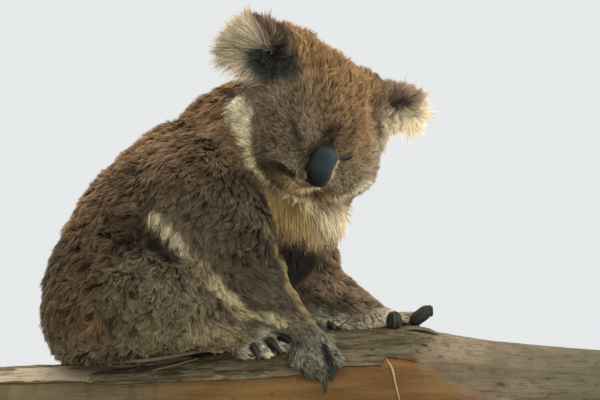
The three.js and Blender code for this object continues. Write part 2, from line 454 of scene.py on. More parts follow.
LOG_X = (-286, -168, -50, 68, 186, 304, 422)
LOG_TOP = (229, 236, 249, 267, 274, 260, 250)
LOG_RADIUS = (62, 62, 64, 67, 69, 68, 67)

# A finger or toe from knuckle to tip, with the radius of its tip.
DIGITS = {
    "hand_right": [
        ((100, -46, 266), (110, -65, 244), 9), ((97, -52, 260), (103, -71, 230), 9),
        ((86, -54, 260), (91, -75, 226), 9.5), ((76, -54, 262), (75, -73, 233), 9.5),
        ((67, -50, 264), (63, -67, 243), 9),
    ],
    "hand_left": [
        ((162, -2, 284), (178, -12, 285), 8), ((172, 6, 286), (203, 1, 289), 8),
        ((172, 18, 286), (201, 18, 287), 8), ((168, 29, 283), (196, 36, 280), 8),
        ((158, 37, 278), (178, 50, 266), 8),
    ],
    "foot_right": [
        ((28, -34, 275), (44, -30, 276), 8.5), ((28, -46, 271), (44, -50, 265), 8.5),
        ((20, -54, 267), (34, -62, 257), 8.5), ((6, -56, 265), (14, -67, 252), 8.5),
    ],
    "foot_left": [
        ((84, 8, 278), (95, -8, 279), 8.5), ((92, 16, 279), (110, 10, 280), 8.5),
        ((92, 26, 278), (112, 26, 277), 8.5), ((86, 38, 272), (104, 46, 266), 8.5),
    ],
}


def digit_frame(knuckle, tip):
    """Ahead along the digit, across it, and its back, which turns away from the log."""
    knuckle, tip = np.array(knuckle, float), np.array(tip, float)
    ahead = unit(tip - knuckle)
    axis = np.interp(tip[0], LOG_X, np.subtract(LOG_TOP, LOG_RADIUS))
    across = unit(np.cross(unit(np.array([0, tip[1], tip[2] - axis])), ahead))
    return np.array([ahead, across, np.cross(ahead, across)])


# The closed eyes: a slit each, from the outer corner down to the one by the nose, as y and z in
# the head's frame.
SLIT = {
    side: [
        (way * (43 - 14 * u), 6.5 - 9.5 * u - 1.8 * math.sin(math.pi * u))
        for u in np.linspace(0, 1, 15)
    ]
    for side, way in (("left", 1), ("right", -1))
}

# The fold between the arm and the thigh.
FOLD = [
    (-140, -98, 397), (-122, -107, 391), (-106, -111, 384), (-94, -111, 371),
    (-82, -118, 364), (-71, -122, 355),
]

# The line of the mouth, under the nose and back into the cheek.
MOUTH = [(24 * math.sin(a) + 2, -41.5 - 7 * math.cos(a)) for a in np.linspace(-1.35, 1.2, 19)]

# Soft parts between the limbs and the log, and the flesh over the roots of the claws.
FILL = [
    ((-42, -48, 262), (30, 26, 11)), ((132, 12, 278), (24, 15, 11)), ((14, -30, 268), (34, 24, 14)),
    ((101, -32, 286), (13, 11, 11)), ((-184, -34, 240), (25, 44, 14)), ((35, -82, 336), (19, 32, 34)),
    ((5, -58, 249), (16, 13, 11)), ((30, -60, 251), (11, 11, 11)), ((47, -50, 256), (9, 9, 9)),
]
FILL += [
    ((x, -26, np.interp(x, LOG_X, LOG_TOP) + 4), (27, 46, 10)) for x in range(-160, -30, 24)
]
for knuckle, tip, _ in DIGITS["hand_right"]:
    ahead = digit_frame(knuckle, tip)[0]
    for along, up, radius in ((4, 1.5, 8.6), (9, 1, 7)):
        FILL.append((np.array(tip) + ahead * along + (0, 0, up), (radius,) * 3))
bm = bmesh.new()
for spot, radii in FILL:
    ball = bmesh.ops.create_icosphere(bm, subdivisions=3, radius=1.0)["verts"]
    for v in ball:
        v.co = Vector([(q * r + c) * MM for q, r, c in zip(v.co, radii, spot)])
soft = mesh_object("soft_parts", bm)

UNDER_SKIN = NAMES + ["eye_left", "eye_right"]
skin = merged_copy("skin", UNDER_SKIN, 0.0006)
only(skin, soft)
bpy.ops.object.join()
even_mesh(skin, SKIN_VOXEL)
me = skin.data
net = Net(me)

flesh_corners, flesh_faces, flesh_part = [], [], []
for n in UNDER_SKIN:
    first = sum(len(c) for c in flesh_corners)
    flesh_corners.append(coords(nodes[n].data))
    flesh_faces.append(triangles(nodes[n].data) + first)
    flesh_part += [FLESH.get(n, FLESH["head"])] * len(flesh_faces[-1])
tree = bvhtree.BVHTree.FromPolygons(
    np.concatenate(flesh_corners).tolist(), np.concatenate(flesh_faces).tolist()
)
outer = net.relax(coords(me), 6)
part = np.array([flesh_part[tree.find_nearest(Vector(p))[2]] for p in outer])


def part_is(*names):
    """Which points of the skin belong to some parts of the body."""
    return np.isin(part, [FLESH[n] for n in names])


thin = part_is(*(n for n in NAMES if n.startswith(("hand", "foot", "ear"))))
outer = net.relax(outer, 26, net.relax(np.where(thin, 0.08, 0.5), 6))
# the underside settles on the log
floor_at = np.interp(outer[:, 0] / MM, LOG_X, LOG_TOP) + 2
seat = part_is("trunk", "thigh_left", "thigh_right") & (outer[:, 2] / MM < floor_at)
settled = (floor_at + 0.3 * (outer[:, 2] / MM - floor_at)) * MM
outer[:, 2] = np.where(seat, settled, outer[:, 2])
outer = net.relax(outer, 10, 0.5 * seat)
# the wrist's back, seen from the side, and how far the skin stands over it
WRIST_X, WRIST_Z = (49.5, 58.6, 69, 86, 99, 112), (344, 325, 307, 279, 265, 250)
wrist = part_is("hand_right", "forearm_right")
over = outer[:, 2] / MM - np.interp(outer[:, 0] / MM, WRIST_X, WRIST_Z)
outer[:, 2] -= np.where(wrist, 0.85 * np.clip(over, 0, 30), 0) * MM
outer = net.relax(outer, 8, 0.4 * wrist)
shoulder = sum(near_ball(outer / MM, (-40, 88 * way, 484), (70, 46, 34), 0.4) for way in (-1, 1))
outer = net.relax(outer, 160, 0.6 * shoulder)
# grooves between the digits, deepest beside the thumb
GROOVED = ("hand_right", "foot_right", "foot_left")
grooves = np.zeros(len(outer))
for n in GROOVED:
    pairs = zip(DIGITS[n][:-1], DIGITS[n][1:])
    for order, ((k0, t0, _), (k1, t1, _)) in enumerate(pairs):
        a, b = (np.array(k0) + k1) / 2, (np.array(t0) + t1) / 2
        cut = near_line(outer / MM, [a + (0, 0, 4), b, b + (b - a) * 0.5 + (0, 0, -4)], 2.0, 5.0)
        deep = 1.7 if (n, order) == ("hand_right", 0) else 1
        grooves = np.maximum(grooves, cut * part_is(*GROOVED) * deep)
outer -= unit(net.relax(normals(me), 6)) * (grooves * 3.2 * MM)[:, None]
fold = near_line(outer / MM, FOLD, 3.0, 9.0) * (outer[:, 1] < -0.04)
outer -= unit(net.relax(normals(me), 8)) * (fold * 6 * MM)[:, None]
eye_balls = [near_ball(in_head(outer / MM), (50, 36 * way, 3), (16, 17, 17), 0.3) for way in (-1, 1)]
by_eye = sum(eye_balls)
outer = net.relax(outer, 30, 0.6 * by_eye)
set_coords(me, outer)
out_normal = unit(net.relax(normals(me), 4))
outer_mm = outer / MM

# Values of the coat at each point of the skin, blended where two parts of the body meet.
share = net.relax(np.eye(len(NAMES))[part], 30)
coat = share @ np.array([COAT[n] for n in NAMES])
local = in_head(outer_mm)
local_normal = out_normal @ HEAD

flow = np.zeros_like(outer)
for n, label in FLESH.items():
    if n in AWAY:
        d = unit(outer_mm - np.array(AWAY[n], float))
    elif n in ALONG:
        d = np.tile(unit(np.array(ALONG[n], float)), (len(outer), 1))
    elif n in EAR_ROOT:
        e, turn = in_ear(local, n)
        d = (e - np.array(EAR_ROOT[n], float)) * (0.4, 1, 1)
        d = unit(unit(d) @ turn.T @ HEAD.T)
    else:
        d = unit(outer_mm - from_head((86, 0, -8)))
    flow += share[:, label : label + 1] * flatten_on(d, out_normal)
flow = net.relax(unit(flatten_on(flow, out_normal)), 16)
flow = unit(flatten_on(flow, out_normal))

depth, length, width, curl, gather, close = coat.T

# the coat lies out along the log where the body rests on it
above_log = outer_mm[:, 2] - np.interp(outer_mm[:, 0], LOG_X, LOG_TOP)
on_paws = share[:, [FLESH[n] for n in PAWS]].sum(1)
resting = (1 - smooth_step(-4, 30, above_log)) * (1 - on_paws)
flow[:, 2] += resting * np.clip(-flow[:, 2], 0, 1) * 1.1
flow[:, 0] -= 0.4 * resting
flow = unit(flatten_on(flow, out_normal))
length = length * (1 - 0.5 * resting)

# head: longest on the crown, shortest round the nose
on_head = share[:, FLESH["head"]]
torso = share[:, FLESH["trunk"]] + share[:, FLESH["neck"]]
crown = on_head * smooth_step(10, 70, local[:, 2])
face = on_head * smooth_step(0, 45, local[:, 0]) * (1 - crown)
muzzle = near_ball(local, (66, 0, -24), (34, 34, 36), 0.4) * on_head
depth = depth + 3.0 * crown - 1.6 * face - 1.5 * muzzle
length = length + 4.0 * crown - 2.5 * face - 3.0 * muzzle
tall = near_ball(local, (-4, -44, 90), (60, 74, 46), 0.6) * on_head
depth = depth + 9 * tall
nape = near_ball(outer_mm, (-22, -10, 548), (44, 90, 34), 0.5)
lift = 9 * tall + 5 * nape * (1 - on_head)
length = length + 11 * tall
curl = curl + 0.2 * crown
width = width - 0.12 * face - 0.1 * muzzle
close = close + 0.8 * face
# the coat parts along the slits of the eyes and the mouth, and is short beside them
for line in (*SLIT.values(), MOUTH):
    gap = local[:, 1:, None] - np.array(line).T[None]
    far = np.linalg.norm(gap, axis=1)
    nearest = far.argmin(1)
    away = gap[np.arange(len(gap)), :, nearest]
    far = far.min(1)
    ends_at = 1 - 0.6 * ((nearest == 0) | (nearest == len(line) - 1))
    ends_at = net.relax(ends_at, 3)
    lid = (1 - smooth_step(3, 10, far)) * (local[:, 0] > 20) * on_head * ends_at
    depth = depth * (1 - 0.75 * lid)
    length = length * (1 - 0.5 * lid)
    width = width * (1 - 0.2 * lid)
    gather = gather * (1 - 0.6 * lid)
    out = np.column_stack([np.zeros(len(away)), unit(away)]) @ HEAD.T
    turn = 0.8 * (1 - smooth_step(2, 12, far)) * (local[:, 0] > 20) * on_head * ends_at**2
    turn = turn[:, None]
    flow = unit(flatten_on(flow * (1 - turn) + out * turn, out_normal))

# ears: long hair on the inner face and rim, out to the fringe, and short hair behind
ears = share[:, FLESH["ear_left"]] + share[:, FLESH["ear_right"]]
flow_local = flow @ HEAD
for n in EAR_AT:
    s = share[:, FLESH[n]]
    e, turn = in_ear(local, n)
    middle, radii = (np.array(q, float) for q in EAR_OVAL[n])
    off = (e[:, 1:] - middle) / radii
    lie = unit((flow_local @ turn)[:, 1:]) / radii
    # a hair reaches on to the edge of the ear's oval
    a, b, c = (lie**2).sum(1), (off * lie).sum(1), (off**2).sum(1) - 1.0
    to_edge = (-b + np.sqrt(np.maximum(b * b - a * c, 0))) / a
    hair = np.clip(to_edge + 5, 13, 58)
    if n == "ear_right":
        way = unit(off)
        shorter = 0.1 * smooth_step(0.3, 1, way @ (-0.6, 0.8))
        hair *= 1 - shorter + 0.35 * smooth_step(0.3, 0.9, way @ (-0.1, -1))
    else:
        way = lie * radii
        longer = 1.75 * smooth_step(0.5, 1.0, way @ (-0.6, 0.8))
        hair *= 1 + longer + 0.25 * smooth_step(0.93, 1.0, way @ (0.99, -0.12))
        hair *= 1 - 0.45 * smooth_step(0.92, 0.99, way @ (0.96, 0.28))
    facing = (local_normal @ turn)[:, 0]
    inland = 1 - smooth_step(0.6, 0.9, np.sqrt((off**2).sum(1)))
    behind = smooth_step(0.1, -0.4, facing) * inland
    length = length + s * (hair * (1 - behind) + 13 * behind - length)
    hollow = in_hollow(e, n) * (facing > -0.2) * np.maximum(s, on_head)
    length = length * (1 - 0.75 * hollow) + 4 * hollow
    close = close + 1.2 * s * smooth_step(4, 16, e[:, 1]) * smooth_step(0, 14, e[:, 2])
    depth = depth + 4 * s * hollow
width = width - 0.12 * ears

# whiskers of the far cheek and the bib are longer
whisker = near_ball(local, (20, 84, 0), (40, 18, 40), 0.4) * on_head
length = length + 12 * whisker
bib = near_ball(outer_mm, (66, -4, 404), (74, 70, 62), 0.25) * torso
length = length + 9 * bib
depth = depth + 2 * bib
gather = gather - 0.15 * bib

# the pale ruff behind the cheeks lies smoothly
round_face = np.hypot(local[:, 1], 1.12 * local[:, 2])
ruff_fur = smooth_step(74, 82, round_face) * smooth_step(112, 98, round_face)
ruff_fur *= smooth_step(0, -16, local[:, 2]) * smooth_step(-60, -40, local[:, 0])
ruff_fur *= on_head + torso
curl = curl * (1 - 0.7 * ruff_fur)
gather = gather * (1 - 0.3 * ruff_fur)
length = length + 4 * ruff_fur

# bare leather at the ends of the far hand's fingers
TIPS = [
    (n, order, *digit_frame(knuckle, tip), np.array(tip, float), radius)
    for n, digits in DIGITS.items()
    for order, (knuckle, tip, radius) in enumerate(digits)
]
bare = np.zeros(len(outer))
for n, _, ahead, _, _, tip, r in TIPS:
    if n == "hand_left":
        bare = np.maximum(bare, near_ball(outer_mm, tip + ahead * r * 0.8, (r,) * 3, 0.2))
close = close * (1 - 0.97 * bare)
length = length * (1 - 0.4 * bare)

# the skin lies inside by the depth of the coat, and that of the ears draws in to their middles
skin_at = outer - out_normal * ((depth - lift) * MM)[:, None]
pinna = in_head(skin_at / MM)
for n in EAR_AT:
    e, turn = in_ear(pinna, n)
    e[:, 1:] += share[:, FLESH[n], None] * 0.45 * (np.array(EAR_OVAL[n][0], float) - e[:, 1:])
    pinna = e @ turn.T + np.array(EAR_AT[n], float)
skin_at = from_head(pinna) * MM
skin_at = net.relax(skin_at, 3)
set_coords(me, skin_at)


# ---------------------------------------------------------------- coat colours, painted light and shade
# One function gives skin and tufts the same colours: the coat's own, with painted light and shade
# among them.

# The pale fringes along the outer edges of the two arms.
ARM_STRIPE = [
    (-93, -108, 398), (-78, -114, 385), (-62, -117, 365), (-44, -121, 345), (-25, -122, 326),
    (-8, -115, 311), (4, -99, 294), (16, -96, 290), (26, -98, 288), (47, -93, 282),
]
ARM_STRIPE_LEFT = [(-22, 104, 384), (10, 98, 352), (44, 84, 326), (78, 62, 306), (110, 40, 292)]
FACE_EDGE = 78.0  # from the middle of the face to where the ruff starts
# Patches of the face, each with its place, size, softness, strength and tone.
CHEEK = (
    ((50, -32, -51), (19, 19, 12), 0.5, 1, (60, 49, 33)),
    ((52, -44, -12), (16, 14, 10), 0.5, 1, (120, 104, 78)),
    ((60, 0, 18), (18, 12, 16), 0.5, 1, (94, 76, 54)),
)
MUZZLE = (
    ([(55, -40, -4), (60, -24, -12), (66, -17, -20)], 3, 6, 0.6, (84, 70, 52)),
    ((54, 4, -58), (26, 30, 11), 0.4, 1, (172, 142, 96)),
    ([(60, -17, -46), (62, -10, -50), (63, 2, -49), (53, 21, -51)], 4.5, 4, 1, (168, 146, 104)),
    ((47, -22, -60), (16, 16, 12), 0.5, 0.7, (68, 55, 37)),
    # the corner of the mouth: painted shade
    ([(54, -28, -43), (58, -21, -44), (61, -14, -43)], 3, 4, 1, (40, 32, 19)),
    ([(56, 29, -5), (54, 31, -13), (53, 33, -22), (51, 36, -32), (51, 35, -41)], 1.5, 3, 0.9,
     (204, 182, 148)),
    ((46, 34, -50), (22, 26, 16), 0.35, 1, (114, 90, 60)),
)
JAW = (
    ((47, 48, -58), (22, 24, 9), 0.4, 1, (102, 79, 52)),
    ([(55, 12, -57), (50, 22, -56), (46, 34, -52)], 5, 4, 1, (192, 168, 124)),
    ((48, 42, -59), (20, 8, 7), 0.5, 1, (84, 66, 41)),
)


def markings_and_shade(p, s):
    """Colours of the coat, its own with painted light and shade among them, at points on its outside
    in millimetres; s shares out the body's parts.
    """
    ahead, left, up = p.T
    h = in_head(p)
    x, y, z = h.T
    named = {n: s[:, k] for n, k in FLESH.items()}
    arm = named["upper_arm_right"] + named["forearm_right"]
    arm_left = named["upper_arm_left"] + named["forearm_left"]
    thigh = named["thigh_left"] + named["thigh_right"] + named["shank_left"] + named["shank_right"]
    paws = sum(named[n] for n in PAWS)
    body = named["trunk"] + named["neck"]
    colour = np.tile(linear(112, 90, 66), (len(p), 1))

    def lay(mask, *tone):
        nonlocal colour
        m = np.clip(mask, 0, 1)[:, None]
        colour = colour * (1 - m) + linear(*tone) * m

    def patch(mask, q, *rows):
        """Patches of colour, each in a ball where its size is three radii, else along a line."""
        for place, size, soft, amount, tone in rows:
            form = near_ball if np.ndim(size) else near_line
            lay(mask * form(q, place, size, soft) * amount, *tone)

    # back: warm over the shoulders, with a painted highlight of rim light along its crest, duller on
    # the flank, pale at the foot of the rump
    back = smooth_step(0.5, 1.2, (up - 300) / 190 - (ahead + 40) / 420)
    lay(1 - back, 84, 69, 50)
    lay(back, 124, 98, 70)
    # painted highlight: golden rim light along the crest of the back
    painted_highlight = smooth_step(80, 20, np.abs(left)) * smooth_step(330, 420, up) * body
    lay(0.6 * painted_highlight, 158, 122, 82)
    patch(
        body, p,
        ((-70, -60, 470), (60, 60, 40), 0.6, 0.8, (142, 116, 84)),
        ((-140, -90, 438), (36, 60, 22), 0.5, 0.5, (92, 74, 53)),
    )
    patch(
        1, p,
        ((-190, 0, 290), (70, 130, 90), 0.5, 1, (98, 81, 57)),
        ((-150, 0, 235), (90, 110, 36), 0.5, 1, (112, 98, 70)),
    )
    lay(thigh, 124, 111, 86)
    lay(thigh * smooth_step(310, 268, up), 110, 100, 72)
    patch(
        thigh, p,
        ((-130, -110, 300), (34, 40, 40), 0.5, 1, (102, 91, 65)),
        ((-30, -100, 272), (34, 50, 30), 0.5, 1, (142, 127, 94)),
    )
    patch(body, p, ((-162, -100, 310), (22, 60, 44), 0.6, 0.6, (110, 84, 54)))
    # painted shade in the fold between the arm and the thigh
    patch(thigh + body, p, (FOLD, 5, 8, smooth_step(-136, -100, ahead), (24, 20, 12)))
    hip_line = [(-21, -111, 300), (-13, -108, 292), (-5, -101, 285)]
    patch(thigh, p, (hip_line, 3, 6, 0.8, (66, 57, 36)))
    # painted shade of a fold in the flank
    flank_fold_shade = [(-168, -84, 412), (-152, -94, 402), (-140, -98, 396)]
    patch(body, p, (flank_fold_shade, 4, 8, 0.2, (56, 45, 32)))
    lay((arm + arm_left) * smooth_step(475, 400, up), 98, 84, 65)
    patch(arm, p, ((20, -100, 350), (40, 60, 40), 0.5, 1, (84, 74, 57)))
    lay(arm * smooth_step(330, 290, up), 82, 72, 56)
    lay(arm * smooth_step(302, 280, up), 114, 101, 79)
    outer_edge = [(30, -110, 388), (37, -106, 377), (45, -97, 361), (56, -92, 324)]
    inner_edge = [(36, -70, 400), (44, -68, 370), (56, -92, 322), (84, -80, 290)]
    patch(
        arm, p,
        (outer_edge, 4, 7, 0.75, (144, 123, 84)), (inner_edge, 5, 7, 0.9, (160, 138, 96)),
    )
    # pale fringe behind the arm
    stripe = near_line(p, ARM_STRIPE, 5, 7) * (1 - paws)
    lay(stripe, 182, 167, 125)
    patch(stripe, p, ((-45, -121, 344), (20, 40, 18), 0.5, 0.7, (134, 120, 84)))
    uneven = 0.8 + 0.2 * value_noise(p, 9, 33)
    lay(stripe * smooth_step(350, 366, up) * uneven, 184, 171, 138)
    # far arm: painted shade inside; its paler, warmer rest partly its own colour and partly painted
    # light; painted rim light along its outer edge
    inner = smooth_step(70, 50, left)
    lay(arm_left * smooth_step(470, 380, up), 116, 98, 76)
    in_shade = smooth_step(104, 90, ahead) * smooth_step(322, 342, up) * inner
    lay(arm_left * in_shade, 46, 40, 30)
    # painted highlight: rim light along the far arm's outer edge
    lay(arm_left * smooth_step(98, 112, ahead) * smooth_step(318, 332, up), 148, 122, 94)
    lower = arm_left * smooth_step(352, 328, up)
    along_arm = up - 372 + 0.62 * ahead
    # painted shadow on the belly under the far arm
    patch(body, p, ((60, -30, 348), (40, 80, 28), 0.5, 1, (34, 30, 22)))
    lay(lower, 134, 124, 100)
    # painted highlight along the top edge of the far forearm
    lay(lower * smooth_step(-16, 4, along_arm), 164, 138, 110)
    lay(lower * smooth_step(-20, -36, along_arm), 128, 115, 92)
    patch(lower, p, ((112, 0, 300), (20, 40, 14), 0.5, 1, (100, 90, 68)))
    patch(arm_left, p, (ARM_STRIPE_LEFT, 7, 8, 1, (190, 174, 132)))
    # paws
    lay(paws, 150, 145, 123)
    lay((named["foot_right"] + named["foot_left"]), 222, 214, 184)
    patch(1, p, ((101, -32, 288), (18, 16, 14), 0.3, 1 - arm, (196, 192, 166)))
    # painted shade in the gaps between the near foot's toes
    shade_between_toes = (
        [(17, -70, 262), (20, -76, 250), (24, -72, 242)],
        [(36, -68, 264), (44, -68, 254), (52, -60, 244)],
    )
    patch(named["foot_right"], p, *((line, 6, 6, 1, (18, 20, 16)) for line in shade_between_toes))
    # the far hand is painted paler than the near one: painted light falling on it
    lay(named["hand_left"], 236, 218, 186)
    # painted shade in the groove beside the near hand's thumb
    groove_shade_by_thumb = [(96, -64, 255), (101, -73, 240), (106, -80, 228), (110, -78, 219)]
    on_thumb = [(102, -58, 264), (113, -66, 246), (117, -72, 232)]
    patch(
        named["hand_right"], p,
        (groove_shade_by_thumb, 2, 7, 1, (40, 42, 38)), (on_thumb, 3, 6, 0.6, (172, 157, 126)),
    )
    # painted shade low on the near hand, down by the log
    lay(named["hand_right"] * smooth_step(246, 222, up) * 0.75, 56, 56, 45)
    # bib and throat: cream at the front; tan to the back, partly its own colour and partly painted
    # shade
    chest = body * near_ball(p, (72, -10, 417), (74, 76, 47), 0.14)
    lay(chest, 154, 128, 79)
    lay(chest * smooth_step(74, 108, ahead), 218, 204, 168)
    by_arm = smooth_step(398, 378, up) * (1 - smooth_step(90, 112, ahead))
    lay(chest * by_arm, 158, 138, 98)
    lay(chest * smooth_step(56, 34, ahead), 160, 134, 84)
    # ruff behind the cheeks
    edge = np.hypot(y, z * 1.12)
    below = smooth_step(4, -16, z)
    wide = 9 * smooth_step(-24, -60, z)
    ragged = edge + wide + 4 * value_noise(p, 9, 31)
    ruff = below * smooth_step(-52, -38, x) * (1 - smooth_step(92, 102, ragged))
    inner = smooth_step(FACE_EDGE - 3, FACE_EDGE + 4, edge - 0.35 * wide)
    lay(ruff * (body + named["head"]) * inner, 200, 189, 156)
    lay(ruff * (body + named["head"]) * inner * smooth_step(-30, -58, z), 212, 190, 141)
    # face: warm brow and crown, partly their own colour and partly painted rim light, greyer cheek
    inside = named["head"] * (1 - below * smooth_step(FACE_EDGE - 3, FACE_EDGE + 4, edge))
    lay(inside, 132, 116, 91)
    # warmer up the brow and crown: partly painted rim light
    lay(inside * smooth_step(-5, 62, z + 0.22 * y - 4), 174, 137, 93)
    lay(inside * smooth_step(0, 46, y) * smooth_step(-40, 20, z), 154, 122, 84)
    patch(inside, h, ((28, -42, 38), (32, 28, 24), 0.6, 0.6, (110, 95, 72)))
    lay(inside * smooth_step(-30, -70, y) * smooth_step(40, -16, z), 107, 92, 71)
    patch(inside, h, *CHEEK)
    for line in SLIT.values():
        by_lid = near_line(h * (0, 1, 1), [(0, y, z) for y, z in line], 2.5, 4)
        lay(inside * by_lid * (x > 20) * 0.7, 72, 60, 50)
    patch(inside, h, *MUZZLE)
    patch(inside + body, h, *JAW)
    patch(inside, h, ((46, 44, -46), (14, 6, 6), 0.4, 1, (92, 74, 50)))
    patch(inside + body, h, ((22, 84, 2), (42, 17, 46), 0.35, 1, (152, 136, 108)))
    patch(inside, h, ((46, 60, -12), (22, 22, 30), 0.6, 0.7, (158, 138, 108)))
    # ears: pale fringe and warm back; the hollow darker, partly its own skin and partly painted
    # shade; painted shade over the fan's inner part
    e, _ = in_ear(h, "ear_right")
    flat = e * (0, 1, 1)
    _, ey, ez = e.T
    own = named["ear_right"]
    lay(own, 116, 97, 78)
    lay(own * smooth_step(30, 6, ey + 0.25 * ez), 218, 201, 167)
    lay(own * smooth_step(0, 22, ez + 0.3 * ey), 162, 136, 110)
    ray = np.degrees(np.arctan2(ez - 5, ey - 25))
    ray = value_noise(np.column_stack([ray, 0 * ray, 0 * ray]), 9, 61)
    lay(own * smooth_step(0.05, 0.5, ray) * smooth_step(26, 6, ey) * 0.5, 126, 106, 80)
    # painted shade over the inner part of the near ear's fan
    patch(own, e, ((0, -4, -27), (40, 24, 15), 0.5, 0.5, (124, 112, 86)))
    patch(own, flat, ([(0, 22, 13), (0, 4, 19), (0, -12, 24)], 1.5, 3, 0.8, (90, 76, 62)))
    patch(own, e, ((0, 38, 22), (40, 16, 18), 0.5, 0.7, (82, 68, 56)))
    upper_rim = [(0, 31, 10), (0, 25, 23), (0, 10, 33), (0, -10, 41)]
    patch(own, flat, (upper_rim, 3.5, 6, 1, (72, 58, 48)))
    own = np.clip(own + named["head"] * (e[:, 0] > -30), 0, 1)
    # the near ear's hollow: partly its own dark skin, partly painted shade
    lay(own * in_hollow(e, "ear_right"), 60, 60, 52)
    e, _ = in_ear(h, "ear_left")
    _, ey, ez = e.T
    own = named["ear_left"]
    lay(own, 170, 145, 119)
    lay(own * smooth_step(16, 34, ey + 0.6 * ez), 222, 206, 172)
    lay(own * smooth_step(6, -6, ez - 0.12 * ey), 214, 199, 163)
    # the far ear's hollow: partly its own dark skin, partly painted shade
    lay(own * in_hollow(e, "ear_left"), 84, 72, 62)
    beside_ear = [(2, 60, 72), (12, 62, 62), (11, 66, 48), (6, 76, 30)]
    patch(inside + named["ear_left"], h, (beside_ear, 4, 7, 0.7, (92, 78, 59)))
    # painted shadow under the near ear
    patch(1, h, ([(-24, -82, -8), (-62, -80, -28)], 4, 8, 1 - arm, (74, 58, 44)))
    return colour


mark = markings_and_shade(outer_mm, share)
# The skin takes half the coat's tone, less in the ears: painted shade deep in the coat. The bare
# fingertips are darker still, as their leather is.
paint(me, "marking_and_shade", mark * (0.5 - 0.38 * bare - 0.2 * ears)[:, None])
shade_smooth(me)

hide = Finish("hide", {"Roughness": 0.75, "Specular IOR Level": 0.2})
where = hide.place()
fine = hide.noise(where, 900, 3)
# mottled towards near black: painted shade between the tufts
hide.colour(hide.mix(0.45 + fine * 0.4, (0.02, 0.015, 0.012), hide.attribute("marking_and_shade")))
hide.bump(fine, 0.0006, 0.6)
hide.on(skin)
piece(skin, "coat", *NAMES)

# ---------------------------------------------------------------- coat

skin_tri = triangles(me)
tri_mid = outer_mm[skin_tri].mean(1)
tri_local = local[skin_tri].mean(1)
corner = skin_at[skin_tri]
two_sides = corner[:, 1] - corner[:, 0], corner[:, 2] - corner[:, 0]
tri_area = np.linalg.norm(np.cross(*two_sides), axis=1) / 2
skin_normal = unit(0.6 * normals(me) + 0.4 * out_normal)
# what each point of the skin tells its tufts, in this order
fields = np.column_stack(
    [skin_at, skin_normal, flow, depth, length, width, curl, gather, close, share]
)
CLOSE_AT = 14


def region_of(names, test=None):
    """Which triangles of the skin belong to some parts of the body."""
    chosen = np.isin(part[skin_tri], [FLESH[n] for n in names]).sum(1) >= 2
    return chosen if test is None else chosen & test


def unwrap(tri):
    """Lays a region of the skin out flat and gives the place of each corner of its triangles."""
    used, index = np.unique(tri, return_inverse=True)
    m = bpy.data.meshes.new("layout")
    m.from_pydata(skin_at[used].tolist(), [], index.reshape(-1, 3).tolist())
    ob = add("layout", m)
    only(ob)
    bpy.ops.object.mode_set(mode="EDIT")
    bpy.ops.mesh.select_all(action="SELECT")
    bpy.ops.uv.smart_project(angle_limit=math.radians(70), island_margin=0.004)
    bpy.ops.object.mode_set(mode="OBJECT")
    uv = rows_of(m.uv_layers.active.data, "uv", width=2)
    bpy.data.objects.remove(ob)
    bpy.data.meshes.remove(m)
    return uv.reshape(-1, 3, 2)


fur = Finish("fur", {"Roughness": 0.8, "Specular IOR Level": 0.18})
fur.colour(fur.attribute("marking_and_shade"))


